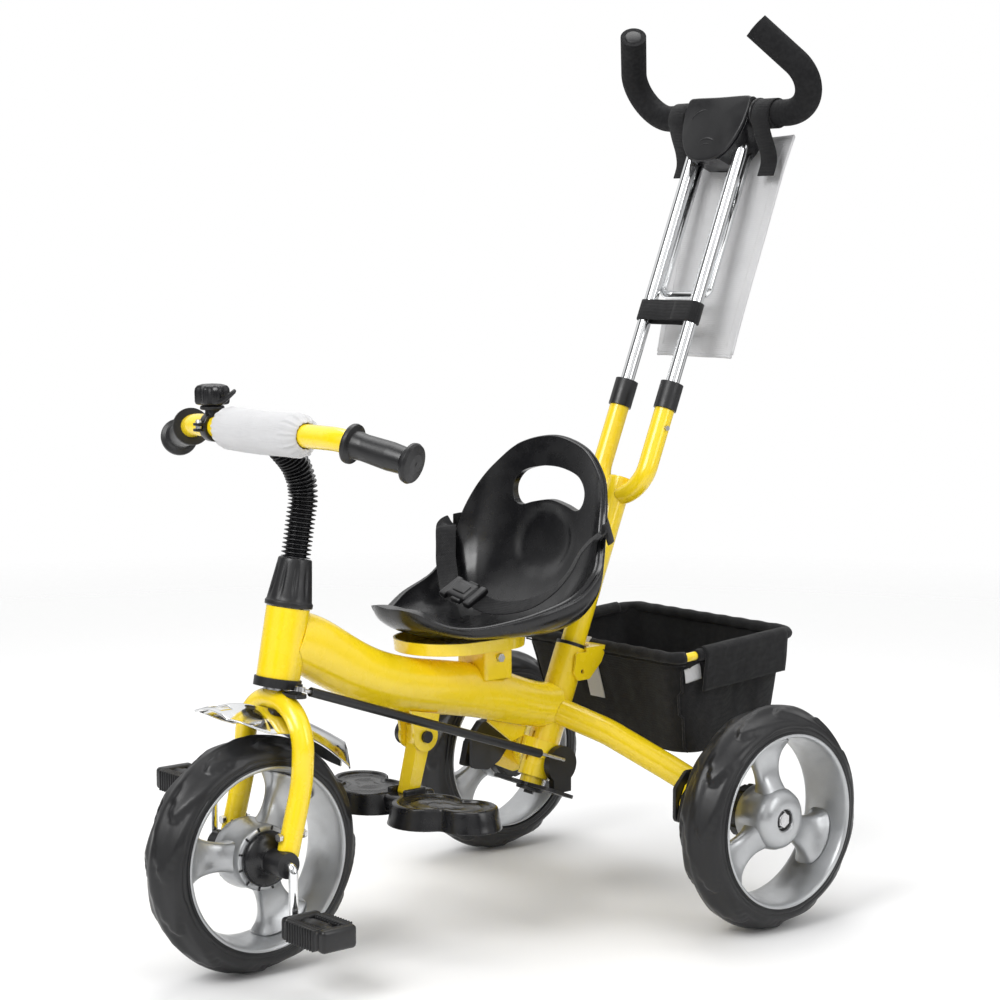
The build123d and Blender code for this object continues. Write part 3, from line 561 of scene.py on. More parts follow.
def swell(made, pinned, pressure=4.0, most=0.004, frames=20):
    """Let a closed fabric piece fill out under pressure, held at the pinned points."""
    before = [v.co.copy() for v in made.data.vertices]
    group = made.vertex_groups.new(name="pinned")
    group.add(pinned, 1.0, "REPLACE")
    cloth = modifier(made, "CLOTH")
    cloth.settings.use_pressure = True
    cloth.settings.uniform_pressure_force = pressure
    cloth.settings.effector_weights.gravity = 0.0
    cloth.settings.vertex_group_mass = "pinned"
    cloth.settings.tension_stiffness = 25
    cloth.settings.quality = 6
    for number in range(1, frames + 1):
        scene.frame_set(number)
    apply_modifiers(made)
    cap_moves(made, before, most)
    scene.frame_set(1)


# ---------------------------------------------------------------- wheels

def tread(turn, radius, along):
    """S-shaped leaves that are pressed into the tyre, from the crown over each shoulder."""
    if radius < WHEEL_R - 22:
        return 0.0
    reach = min(1.0, abs(along) / 28)
    side = 1 if along > 0 else -1
    lean = 0.75 * math.sin(math.pi * reach) + 0.30 * reach
    phase = (TREAD_LEAVES * turn / (2 * math.pi) + side * 0.25 - side * lean) % 1.0
    rise = (phase / 0.86) ** 1.3 if phase < 0.86 else 1 - ((phase - 0.86) / 0.14) ** 1.5
    fade = min(1.0, reach * 2.6) * max(0.0, min(1.0, (1.08 - reach) * 4))
    return -4.6 * fade * (1 - rise)


def tyre_profile():
    """One closed loop across the tyre: beads, ringed sidewalls, shoulders and crown."""
    half = [(94, 30), (96.4, 30.3), (97.4, 29.2), (98.6, 29.2), (99.6, 30.1), (102.4, 30), (103.4, 28.9),
            (104.6, 28.8), (105.6, 29.4), (108, 28.9), (111, 27.4),
            (114, 25.4), (116.6, 23.0), (118.8, 20.4), (120.7, 17.4), (122.2, 14.2), (123.4, 10.8),
            (124.3, 7.2), (124.8, 3.6)]
    return half + [(125, 0)] + [(r, -s) for r, s in reversed(half)] + [(94, -15), (94, 0), (94, 15)]


def make_tyre(node, centre, body):
    points, faces = turned(tyre_profile(), centre, (1, 0, 0), 480, tread)
    made = piece(node + "_foam", points, faces, "tyre_foam", body, [node])
    subdivide(made)


def spoke(centre, outward, turn, reach):
    """A broad dished spoke that flares where it meets the barrel."""
    stations = (
        # radius, half width, half depth, place along the axle
        (24, 19, 15, 6), (33, 16.5, 12, 5), (44, 15, 8, 2), (56, 16.5, 7, 0),
        (68, 20, 8.5, -1), (77, 25, 12, -1.5), (84, 31, 16.5, -2), (reach, 37, 21, -2))
    out = Vector((0, math.cos(turn), math.sin(turn)))
    across = Vector((0, -math.sin(turn), math.cos(turn)))
    axle = Vector((outward, 0, 0))
    outline = [(1.0, -0.55), (1.0, 0.1), (0.93, 0.62), (0.6, 0.9), (0.0, 1.0), (-0.6, 0.9),
               (-0.93, 0.62), (-1.0, 0.1), (-1.0, -0.55), (-0.9, -0.95), (-0.4, -0.7), (0.0, -0.6),
               (0.4, -0.7), (0.9, -0.95)]
    rows = []
    for radius, width, depth, along in stations:
        ring = []
        for u, v in outline:
            offset = u * width
            drop = radius - math.sqrt(max(0.0, radius ** 2 - offset ** 2)) if radius > 40 else 0
            place = Vector(centre) + out * (radius - drop) + across * offset
            ring.append(place + axle * (along + v * depth))
        rows.append(ring)
    return patch(rows, False, True, caps=True)


def make_rim(node, centre, outward, body, first_spoke, front):
    barrel = [
        (93.9, -30), (94.0, 29.9), (96.6, 30.6), (97.0, 31.6), (96.0, 32.3), (94.2, 32.0), (92.6, 30.4),
        (91.3, 25), (89.6, 16), (87.8, 5), (87.0, -4), (87.8, -16), (90, -26), (92, -31),
    ]
    if front:
        hub = [(12, 24), (30, 24), (33.2, 23.2), (34.6, 20.5), (34.8, 6), (37, -6), (37, -14), (34, -23),
               (30, -24), (12, -24)]
    else:
        hub = [(12, 18), (12, 24.4), (13.4, 25.8), (20, 25.6), (27, 23.6), (32, 19.5), (34.6, 13),
               (35.5, 2), (35.5, -10), (33, -20), (9, -20), (9, 18)]
    axis = (outward, 0, 0)
    lip, lip_faces = turned(barrel, centre, axis, 160)
    made = piece(node + "_barrel", lip, lip_faces, "silver_plastic", body, [node])
    subdivide(made)
    core = piece(node + "_hub", *turned(hub, centre, axis, 96), "silver_plastic", body)
    bevel(core, 0.0006)
    spokes = join(*[spoke(centre, outward, math.radians(first_spoke + 120 * k), 92) for k in range(3)])
    arms = piece(node + "_spokes", *spokes, "silver_plastic", body)
    subdivide(arms, 3)
    if front:
        slots = []
        for number in range(12):
            turn = 2 * math.pi * (number + 0.5) / 12
            for hand in (-1, 1):
                place = Vector(centre) + Vector((hand * 24.1, 32 * math.cos(turn), 32 * math.sin(turn)))
                slots.append(rounded_box(place, (1.6, 4.6, 2.2), 0.5, Matrix.Rotation(turn, 3, "X")))
        piece(node + "_notches", *join(*slots), "black_plastic", body)
    else:
        cup = turned_solid([(0.4, 17.5), (9, 17.6), (11.2, 18.2), (11.9, 22), (11.9, 17), (0.4, 16)],
                           centre, axis, 48)
        piece(node + "_hub_hole", *cup, "black_plastic", body)


def make_wheels():
    make_tyre("front_tyre", FRONT_AXLE, "front_wheel")
    make_rim("front_rim", FRONT_AXLE, 1, "front_wheel", 55, True)
    for hand, side in ((1, "left"), (-1, "right")):
        centre = (hand * REAR_HALF_TRACK, WHEELBASE, WHEEL_R)
        make_tyre(f"rear_tyre_{side}", centre, f"rear_wheel_{side}")
        make_rim(f"rear_rim_{side}", centre, hand, f"rear_wheel_{side}", 95, False)
    covers = []
    for hand in (1, -1):
        covers.append(turned([
            (5.2, 24.2), (28.5, 24.2), (29.6, 25.4), (29.4, 28.6), (27.4, 31.6), (23, 34.6), (18, 36.4),
            (14.4, 37.2), (13.6, 38.4), (5.2, 38.4)], FRONT_AXLE, (hand, 0, 0), 72))
    dome = piece("clutch_domes", *join(*covers), "black_gloss", "front_wheel", ["clutch_covers"])
    modifier(dome, "SUBSURF", levels=1, render_levels=2)


# ---------------------------------------------------------------- front end

def make_hose():
    path = even(bent([on_head(131), (0, 72.5, 515), (0, 36, 551.5)], 60), 281)
    ribs = 29

    def ribbed(way, turn):
        wave = math.cos(2 * math.pi * ribs * way)
        return 13.4 + 2.4 * math.copysign(abs(wave) ** 0.7, wave)

    piece("corrugated_hose", *tube(path, ribbed, 40), "black_gloss", "steering", ["stem_hose"])


def make_headset_cap():
    def flutes(turn, radius, along):
        if along < 86:
            return 0.0
        way = (along - 86) / 44
        return -1.5 * math.sin(math.pi * min(1, way * 1.15)) * max(0.0, math.cos(10 * turn)) ** 2

    profile = [(17.2, 79.4), (24.6, 79.4), (25.2, 80.2), (25.2, 84.2), (24.4, 85), (23.8, 86)]
    for step in range(1, 13):
        way = step / 12
        profile.append((23.8 - 6.1 * way, 86 + 43 * way))
    profile += [(16.6, 130.2), (13.4, 130.4), (13.4, 120), (15.2, 100)]
    made = piece("fluted_cap", *turned(profile, HEAD_RING, ALONG_HEAD, 160, flutes), "black_plastic",
                 "steering", ["headset_cap"])
    bevel(made, 0.0004)


def make_handlebar_pad():
    """Quilted sleeve on the bar, gathered by an elastic at each end."""
    length, sides, rings = 151.0, 120, 110
    y, z = BAR
    rows = []
    for ring in range(rings + 1):
        way = ring / rings
        x = -0.5 * length + length * way
        end = min(way, 1 - way) * length
        fill = min(1.0, end / 17)
        body = 13.2 + 9.4 * math.sin(0.5 * math.pi * fill) ** 0.75
        row = []
        for turn in turns(sides):
            fold = 1.0 * math.cos(17 * turn + 1.3 * math.sin(2 * turn)) + 0.55 * math.cos(29 * turn + 1)
            gather = max(0.0, 1 - end / 24) ** 0.8
            soft = 0.7 * noise.noise(Vector((x / 26, 2.2 * math.cos(turn), 2.2 * math.sin(turn))))
            size = body + fold * gather * (0.9 if end > 4 else 0.45) + soft
            sag = -1.2 * math.sin(math.pi * way)
            row.append(Vector((x, y + size * math.cos(turn), z + size * math.sin(turn) + sag)))
        rows.append(row)
    inner = [[Vector((row[0].x, y + 12.4 * math.cos(turn), z + 12.4 * math.sin(turn)))
              for turn in turns(sides)] for row in (rows[-1], rows[0])]
    points, faces = patch(rows + inner, True, True)
    made = piece("bar_pad", points, faces, "grey_fabric", "steering", ["handlebar_pad"])
    held = [k for k in range(len(points)) if k < 3 * sides or k >= (rings - 2) * sides]
    swell(made, held, 4.0, 0.0035)
    subdivide(made)
    seam = [row[100] for row in rows[8:-8]]
    line = [p + Vector((0, p.y - y, p.z - z)).normalized() * 0.4 for p in seam]
    piece("bar_pad_seam", *ribbon(line, Vector((0, line[0].y - y, line[0].z - z)), 2.6, 1.0),
          "grey_fabric", "steering")


def make_bell():
    y, z = BAR
    centre = (BELL_X, y - 2, 595.0)

    def lobes(turn, radius, along):
        return 1.5 * math.cos(7 * turn) * min(1.0, radius / 14)

    dome = turned_solid([
        (0.3, -9), (13.5, -9), (16.2, -8), (17.2, -5.5), (17.4, 5), (16.8, 8.6), (14.6, 11.2), (11, 12.4),
        (6, 12.9), (5.2, 12.2), (0.3, 12.4)], centre, UP, 140, lobes)
    clamp = turned([(12.1, -5.5), (15.2, -5.5), (16.2, -4.5), (16.2, 4.5), (15.2, 5.5), (12.1, 5.5)],
                   (BELL_X, y, z), (1, 0, 0), 64)
    foot = turned_solid([(0.3, -22), (8.5, -22), (7.5, -16), (9, -9), (0.3, -9)], centre, UP, 40)
    ears = [rounded_box((BELL_X, y - 17.5, z + hand * 3), (10, 12, 3.4), 1.2) for hand in (-1, 1)]
    made = piece("bell_housing", *join(dome, clamp, foot, *ears), "black_gloss", "steering", ["bell"])
    bevel(made, 0.0005)
    screw = turned_solid([(0.3, -4), (3, -4), (3.4, -3), (3.4, 7), (2.6, 8), (0.3, 8)],
                         (BELL_X, y - 19, z), UP, 24)
    piece("bell_screw", *screw, "steel", "steering")
    tip = curve_through([(-79, 17, 590.5), (-70, 18, 592), (-62, 20, 597), (-55, 22, 602)], 8)

    def taper(way, turn):
        return 4.4 - 1.9 * way + 0.9 * math.cos(2 * turn)

    ring = turned([(6.3, -14.6), (12.6, -14.6), (12.9, -13), (12.9, -11), (12.2, -9.6), (6.3, -9.6)],
                  centre, UP, 64)
    made = piece("bell_thumb_lever", *join(tube(tip, taper, 18), ring), "black_plastic", "bell_lever",
                 ["bell_lever"])
    subdivide(made)


# ---------------------------------------------------------------- seat

SEAT_RIM = (                    # right half of the rim's crest, from the nose to the top of the back
    (0, 185, 364), (20, 186, 365), (36, 194, 362), (48, 207, 353), (61, 221, 347), (76, 239, 346),
    (93, 262, 351), (110, 292, 360), (120, 335, 375), (123, 362, 399), (121, 370, 418), (115, 379, 448),
    (104, 392, 478), (86, 403, 502), (53, 411, 526), (0, 414, 537),
)
SEAT_FLOOR = Vector((0, 292, 331))
SEAT_SOLE_Z = 327.2
SEAT_INNER_STEPS = 44           # along a section, from the middle of the floor to the crest


def bezier(a, b, c, d, t):
    s = 1 - t
    return a * s ** 3 + b * 3 * s * s * t + c * 3 * s * t * t + d * t ** 3


def seat_row(crest):
    """The seat's section from the middle of the floor over the rim to the middle of the sole."""
    level = Vector((crest.x, crest.y, 0)) - Vector((SEAT_FLOOR.x, SEAT_FLOOR.y, 0))
    out = level.normalized()
    height = crest.z - SEAT_FLOOR.z
    rear = max(0.0, min(1.0, (crest.z - 385) / 90))
    nose = max(0.0, min(1.0, (236 - crest.y) / 40))
    low = SEAT_FLOOR + level * (0.62 + 0.12 * rear - 0.22 * nose)
    low.z -= 1.5
    wall = SEAT_FLOOR + level * (0.93 + 0.05 * rear - 0.30 * nose)
    wall.z += height * (0.30 + 0.04 * rear + 0.66 * nose)
    steps = SEAT_INNER_STEPS
    row = [bezier(SEAT_FLOOR, low, wall, crest, step / steps) for step in range(1, steps)]
    lift = (crest - row[-1]).normalized()
    lip = out * (1 - 0.25 * rear) + UP * 0.25 * rear
    row += [
        crest + lift * 1.0, crest + lift * 1.4 + lip * 1.8, crest + lift * 0.2 + lip * 4.0,
        crest - lift * 1.3 + lip * 5.6, crest - lift * 0.4 + lip * 7.2, crest - lift * 0.2 + lip * 9.0,
        crest - lift * 1.6 + lip * 10.6, crest - lift * 4.2 + lip * 11.2,
    ]
    edge = row[-1]
    side = Vector((edge.x, edge.y, edge.z - height * 0.45 - 3))
    foot = SEAT_FLOOR + level * 0.86
    foot.z = SEAT_SOLE_Z + 4
    sole = SEAT_FLOOR + level * 0.5
    sole.z = SEAT_SOLE_Z
    row += [bezier(edge, side, foot, sole, step / 20) for step in range(1, 21)]
    return row


def hole_outline():
    half = [(0, 466), (26, 462), (48, 457), (59, 466), (60, 481), (48, 495), (24, 502)]
    points = [(x, 0, z) for x, z in half] + [(0, 0, 504)] + [(-x, 0, z) for x, z in reversed(half[1:])]
    return curve_through(points, 8, True)


def make_seat_shell():
    left = [(-x, y, z) for x, y, z in reversed(SEAT_RIM[1:-1])]
    crest = curve_through(list(SEAT_RIM) + left, 9, True)
    rows = [seat_row(point) for point in crest]
    points, faces = patch(rows, True, False)
    count, width = len(rows), len(rows[0])
    for place, column, spin in (((SEAT_FLOOR.x, SEAT_FLOOR.y, SEAT_FLOOR.z), 0, 1),
                                ((SEAT_FLOOR.x, SEAT_FLOOR.y, SEAT_SOLE_Z), width - 1, -1)):
        points.append(Vector(place))
        hub = len(points) - 1
        for row in range(count):
            ends = (row * width + column, ((row + 1) % count) * width + column)
            faces.append((hub, *ends[::spin]))
    for index in range(count * width):
        if index % width < SEAT_INNER_STEPS - 1:
            press_oval(points[index])
    made = piece("bucket_seat", points, faces, "black_gloss", "frame", ["seat_shell"])
    cut_hole(made)
    bevel(made, 0.0028, 3, angle_limit=math.radians(50))
    modifier(made, "SMOOTH", factor=0.5, iterations=3)


def press_oval(point):
    """The pressed oval field on the backrest, below the hand hole."""
    reach = math.hypot(point.x / 43, (point.z - 420) / 36)
    if point.y > 350 and reach < 1.12:
        step = max(0.0, min(1.0, (1.06 - reach) / 0.10))
        point.y += 3.6 * step * step * (3 - 2 * step)


def cut_hole(made):
    """Cut the hand hole through the backrest."""
    outline = hole_outline()
    rows = [[Vector((p.x, y, p.z)) for p in outline] for y in (370, 450)]
    points, faces = patch(rows, False, True, caps=True)
    cutter = new_object("hole_cutter", [at(p) for p in points], faces)
    tidy_normals(cutter)
    modifier(made, "BOOLEAN", object=cutter, operation="DIFFERENCE", solver="EXACT")
    apply_modifiers(made)
    bpy.data.objects.remove(cutter)
    smooth(made)


def make_belt():
    """Lap belt: both ends go round the shell's wings and meet in a buckle on the rider's right."""
    near = curve_through([
        (112, 398, 446), (127, 386, 443), (132, 372, 440), (125, 365, 438), (113, 356, 422),
        (103, 347, 398), (86, 341, 379), (60, 336, 363), (30, 330, 354), (2, 323, 352),
        (-20, 317, 358)], 10)
    far = curve_through([
        (-112, 396, 434), (-128, 384, 431), (-134, 370, 428), (-128, 362, 425), (-117, 353, 409),
        (-106, 344, 393), (-90, 334, 378), (-76, 325, 368), (-62, 318, 363)], 10)

    def inward(hand):
        """Outwards beside the wing, forwards over its edge, then up out of the seat."""
        def face(way):
            if way < 0.2:
                return Vector((hand, 0.3 - 3 * way, 0.1))
            return Vector((-0.75 * hand * (1 - way), -0.6, 0.35 + 0.65 * way))
        return face

    straps = join(ribbon(near, inward(1), 24, 1.8), ribbon(far, inward(-1), 24, 1.8))
    made = piece("belt_webbing", *straps, "black_fabric", "frame", ["seat_belt"], webbing)
    subdivide(made)
    tilt = Matrix.Rotation(math.radians(10), 3, "Y") @ Matrix.Rotation(math.radians(32), 3, "X")
    middle = Vector((-40, 316, 365))
    parts = [
        rounded_box(middle, (34, 27, 10), 3.4, tilt),
        rounded_box(middle + tilt @ Vector((-21, 0, -1)), (11, 33, 8), 2.6, tilt),
        rounded_box(middle + tilt @ Vector((21, 0, -1)), (11, 33, 8), 2.6, tilt),
        rounded_box(middle + tilt @ Vector((0, 0, 5)), (20, 13, 2.6), 1.1, tilt),
    ]
    for hand in (-1, 1):
        parts.append(rounded_box(middle + tilt @ Vector((3, hand * 14.4, 0)), (16, 5, 6), 2, tilt))
    buckle = piece("belt_buckle", *join(*parts), "black_plastic", "frame")
    subdivide(buckle)


# ---------------------------------------------------------------- fender, pedals and foot trays

FENDER_RIDGE = [Vector((0, y, z)) for y, z in ((-50, 283), (-12, 293), (62, 262), (121, 224))]


def fender_point(along, across):
    """A point of the wing's skin: along its length from 0 to 1, and across it from -1 to 1."""
    ridge = bezier(*FENDER_RIDGE, along)
    if along < 0.12:
        half = 30 + 50 * along
    elif along < 0.62:
        half = 36 + 1.5 * math.sin(math.pi * (along - 0.12) / 0.5)
    else:
        half = 36 * math.sqrt(max(0.0, 1 - ((along - 0.62) / 0.385) ** 2)) + 1
    crown = min(1.0, along / 0.35)
    wave = 1 + 0.25 * math.sin(2 * math.pi * along * 1.3)
    drop = (5 + 17 * crown * wave) * abs(across) ** 2.4
    rib = 2.2 * math.exp(-((across / 0.16) ** 2)) * min(1.0, along / 0.2)
    return ridge + Vector((half * across, 0, rib - drop))


def make_fender():
    rows, columns = 64, 41
    points = [fender_point(row / (rows - 1), 2 * column / (columns - 1) - 1)
              for row in range(rows) for column in range(columns)]
    faces = []
    for face in faces_of(rows, columns):
        row, column = divmod(face[0], columns)
        window = 3 <= row <= 8 and 12 <= column <= 27
        if not window:
            faces.append(face)
    made = piece("fender_wing", points, faces, "chrome", "steering", ["fender"])
    modifier(made, "SOLIDIFY", thickness=0.002, offset=-1.0)
    subdivide(made)
    mount = join(
        rounded_box((0, 30, 271), (34, 30, 10), 3), rounded_box((0, 30, 265), (20, 20, 12), 3))
    piece("fender_mount", *mount, "black_plastic", "steering")


def make_pedals():
    for hand, side in ((1, "left"), (-1, "right")):
        height = WHEEL_R - hand * 57
        parts = [
            rounded_box((hand * 86.4, 0, height), (11.5, 45, 24), 4),
            rounded_box((hand * 147, 0, height), (12, 43, 24), 4.5),
            turned([(5.15, -27), (9.5, -27), (9.5, -14), (11, -13), (11, 13), (9.5, 14), (9.5, 27),
                    (5.15, 27)], (hand * 116.5, 0, height), (1, 0, 0), 32),
        ]
        for edge in (-1, 1):
            parts.append(rounded_box((hand * 116.5, edge * 18, height), (56, 11, 19), 2.5))
            for number in range(11):
                across = hand * (94.5 + 4.4 * number)
                parts.append(rounded_box((across, edge * 18.6, height), (2.2, 13, 22.4), 0.9, steps=2))
        for number in range(3):
            parts.append(rounded_box((hand * (102 + 14.5 * number), 0, height), (3, 34, 14), 1))
        node = f"pedal_{side}"
        made = piece(f"pedal_block_{side}", *join(*parts), "black_plastic", node, [node])
        bevel(made, 0.0004, 1)


TRAY_LOBES = ((48.0, 192.0, 40.0), (97.0, 213.0, 32.0))     # X, Y and radius of a tray's two lobes
TRAY_MIDDLE = (71.0, 203.0)
TRAY_SECTION = (                # share of the outline and height, from the recess to the hem
    (0.05, 156.6), (0.28, 156.6), (0.30, 157.2), (0.33, 157.2), (0.35, 156.6), (0.60, 156.6), (0.62, 157.2),
    (0.65, 157.2), (0.67, 156.6), (0.78, 156.6), (0.81, 157.2), (0.84, 159.4), (0.87, 160.0), (0.92, 160.0),
    (0.955, 158.8), (0.975, 156), (1.0, 147), (1.03, 139), (1.045, 136.6), (1.035, 136.2), (1.01, 138),
    (0.95, 154), (0.90, 156.5), (0.05, 154.5),
)


def tray_outline(count):
    """How far a tray reaches from its middle at each of a number of bearings."""
    made = []
    for turn in turns(count):
        ray = Vector((math.cos(turn), math.sin(turn)))
        far = 0.0
        for x, y, radius in TRAY_LOBES:
            to = Vector((x - TRAY_MIDDLE[0], y - TRAY_MIDDLE[1]))
            near = to.dot(ray)
            far = max(far, near + math.sqrt(max(0.0, radius ** 2 - to.length_squared + near ** 2)))
        made.append(far)
    for _ in range(14):
        made = [0.25 * made[k - 1] + 0.5 * made[k] + 0.25 * made[(k + 1) % count] for k in range(count)]
    return made


def make_foot_trays():
    reach = list(zip(turns(120), tray_outline(120)))
    parts = []
    for hand in (-1, 1):
        rows = []
        for share, height in TRAY_SECTION:
            rows.append([Vector((
                hand * (TRAY_MIDDLE[0] + share * far * math.cos(turn)),
                TRAY_MIDDLE[1] + share * far * math.sin(turn), height)) for turn, far in reach])
        parts.append(patch(rows, False, True, caps=True))
    parts.append(rounded_box((0, 200, 149), (44, 40, 19), 5))
    parts.append(rounded_box((0, 224, 156), (30, 16, 13), 5))
    for hand in (-1, 1):
        parts.append(rounded_box((hand * 13.5, 203, 160), (5, 30, 12), 2.2))
    made = piece("foot_trays", *join(*parts), "black_gloss", "footrest", ["footrest_trays"])
    bevel(made, 0.0006)


# ---------------------------------------------------------------- basket

BASKET_TOP = (133.0, 91.0, 575.0)       # half width, half length and middle of the rim
BASKET_SOLE = (117.0, 72.0, 586.0)
BASKET_SOLE_Z = 173.0


def rim_height(y):
    return 292 + 12 * (y - 482) / 186


def rounded_plan(half_x, half_y, middle, corner, count):
    """Evenly spaced points round a rectangle with round corners, from the middle of its rear side."""
    path = []
    for quarter in range(4):
        sx, sy = ((1, 1), (1, -1), (-1, -1), (-1, 1))[quarter]
        for step in range(13):
            turn = math.radians(90 - 90 * quarter - 90 * step / 12)
            path.append(Vector((
                sx * (half_x - corner) + corner * math.cos(turn),
                middle + sy * (half_y - corner) + corner * math.sin(turn), 0)))
    start = Vector((0, middle + half_y, 0))
    return even([start] + path + [start], count + 1)[:-1]


def basket_skin(count=176, levels=26):
    """Points of the hanging cloth, row by row from the rim to the sole's middle."""
    top = rounded_plan(*BASKET_TOP, 20, count)
    sole = rounded_plan(*BASKET_SOLE, 22, count)
    rows = []
    for level in range(levels):
        way = level / (levels - 1)
        row = []
        for upper, lower in zip(top, sole):
            high = rim_height(upper.y)
            foot = Vector((lower.x, lower.y, BASKET_SOLE_Z + 5))
            point = Vector((upper.x, upper.y, high)).lerp(foot, way)
            out = Vector((point.x, point.y - 580, 0)).normalized()
            full = math.sin(math.pi * way)
            soft = noise.noise(Vector((point.x / 46, point.y / 46, point.z / 70)))
            pleat = noise.noise(Vector((point.x / 16, point.y / 16, point.z / 95 + 7)))
            row.append(point + out * (full * (2.6 * soft + 1.4 * pleat - 1.0)))
        rows.append(row)
    for step in range(1, 13):
        shrink = 1 - step / 12
        row = []
        for lower in sole:
            x = lower.x * shrink
            y = BASKET_SOLE[2] + (lower.y - BASKET_SOLE[2]) * shrink
            edge = 5 * shrink ** 6
            dip = 1.4 * noise.noise(Vector((x / 40, y / 40, 3)))
            row.append(Vector((x, y, BASKET_SOLE_Z + edge + dip - 1.2 * (1 - shrink))))
        rows.append(row if step < 12 else row[:1] * count)
    return rows


def basket_flap(hand, y_from, y_to, drop):
    """A flap that is folded over the rim and lies on the outside of the wall."""
    rows = []
    for level in range(22):
        way = level / 21
        row = []
        for column in range(30):
            y = y_from + (y_to - y_from) * column / 29
            high = rim_height(y)
            if way < 0.36:
                turn = math.radians(200 - 200 * way / 0.36)
                x, z = 135 + 8.1 * math.cos(turn), high + 8.1 * math.sin(turn)
            else:
                down = (way - 0.36) / 0.64
                x, z = 143.1 - 4.5 * down, high - drop * down
            x += 0.9 * noise.noise(Vector((y / 24, z / 24, hand)))
            row.append(Vector((hand * x, y, z)))
        rows.append(row)
    return patch(rows)


def make_basket():
    rows = basket_skin()
    points, faces = patch(rows, False, True)
    shell = piece("basket_cloth", points, faces, "black_fabric", "frame", ["basket"])
    modifier(shell, "WELD", merge_threshold=0.00005)
    thicken(shell, 0.0016)

    rim = [Vector((x, y, rim_height(y))) for x, y, _ in rounded_plan(135, 93, 575, 16, 240)]
    stub = [k for k, p in enumerate(rim) if p.x > 134 and 481 < p.y < 511]
    first, last = stub[-1], stub[0]
    sleeve_path = rim[first:] + rim[:last + 1]

    def puckered(way, turn):
        return 6.6 + 0.35 * math.sin(61 * way * math.pi) + 0.3 * math.cos(3 * turn + 9 * way)

    sleeve = piece("basket_sleeve", *tube(sleeve_path, puckered, 18), "black_fabric", "frame")
    hem = [p + Vector((math.copysign(0.9, p.x) if abs(p.x) > 120 else 0, 0, -9)) for p in sleeve_path]
    corner = [max(row, key=lambda p: p.x - p.y) + Vector((0.8, -0.8, 0)) for row in rows[3:26]]
    binding = join(
        tube([p.lerp(Vector((0, 580, p.z)), 0.008) for p in hem[::3]], 1.0, 8),
        tube(corner, 1.5, 8),
        tube([Vector((-p.x, p.y, p.z)) for p in corner], 1.5, 8))
    piece("basket_binding", *binding, "black_fabric", "frame", look=webbing)

    for hand, y_from, y_to, drop in ((1, 518, 652, 42), (-1, 540, 640, 40)):
        side = "left" if hand > 0 else "right"
        flap = basket_flap(hand, y_from, y_to, drop)
        cover = piece(f"basket_flap_{side}", *flap, "black_fabric", "frame")
        thicken(cover, 0.0016)

    front = [Vector((-18, y, z)) for y, z in (
        (480, 300), (474.6, 293), (481, 284), (489, 268), (496, 246), (502, 226))]
    tab = [(126.5, 509, 281), (126.4, 511, 274), (125.6, 513, 264)]
    strips = join(
        ribbon(curve_through(front, 6), (0, -1, -0.2), 25, 1.6),
        ribbon([Vector(p) + Vector((4.4, -1, 0)) for p in curve_through(tab, 4)], (1, -0.15, 0), 22, 1.6))
    piece("basket_webbing", *strips, "grey_fabric", "frame")


# ---------------------------------------------------------------- push handle

HUB_OUTLINE = (                 # across, and along the handle: right half of the shield, from its top
    (0, 829), (40, 829.5), (49, 828), (51.4, 822), (51.4, 806), (48.5, 790), (42, 773), (31, 758),
    (16, 750), (0, 748),
)


def hub_plate(base, thick, crown, size):
    """A shield with a crowned face; base is how far its back is out from the handle's plane."""
    right = [Vector((x * size, 0, 790 + (a - 790) * size)) for x, a in HUB_OUTLINE]
    left = [Vector((-p.x, 0, p.z)) for p in reversed(right[1:-1])]
    outline = curve_through(right + left, 6, True)
    rows = []
    for share, height in (
            (1.0, 0.0), (1.0, thick - 1.6), (0.992, thick - 0.6), (0.975, thick), (0.94, thick + 0.15),
            (0.8, thick + 0.35 * crown), (0.6, thick + 0.65 * crown), (0.35, thick + 0.9 * crown),
            (0.1, thick + crown)):
        rows.append([on_handle(p.x * share, 795 + (p.z - 795) * share, base + height) for p in outline])
    return patch(rows, False, True, caps=True)


def arc_on_hub(x, along, radius, start, end, height, thick):
    """A flattened arc in relief, which tapers to both ends."""
    path = []
    for step in range(25):
        turn = math.radians(start + (end - start) * step / 24)
        path.append(on_handle(x + radius * math.cos(turn), along + 0.62 * radius * math.sin(turn), height))
    return tube(path, lambda way, turn: thick * (0.35 + 0.65 * math.sin(math.pi * way)), 12)


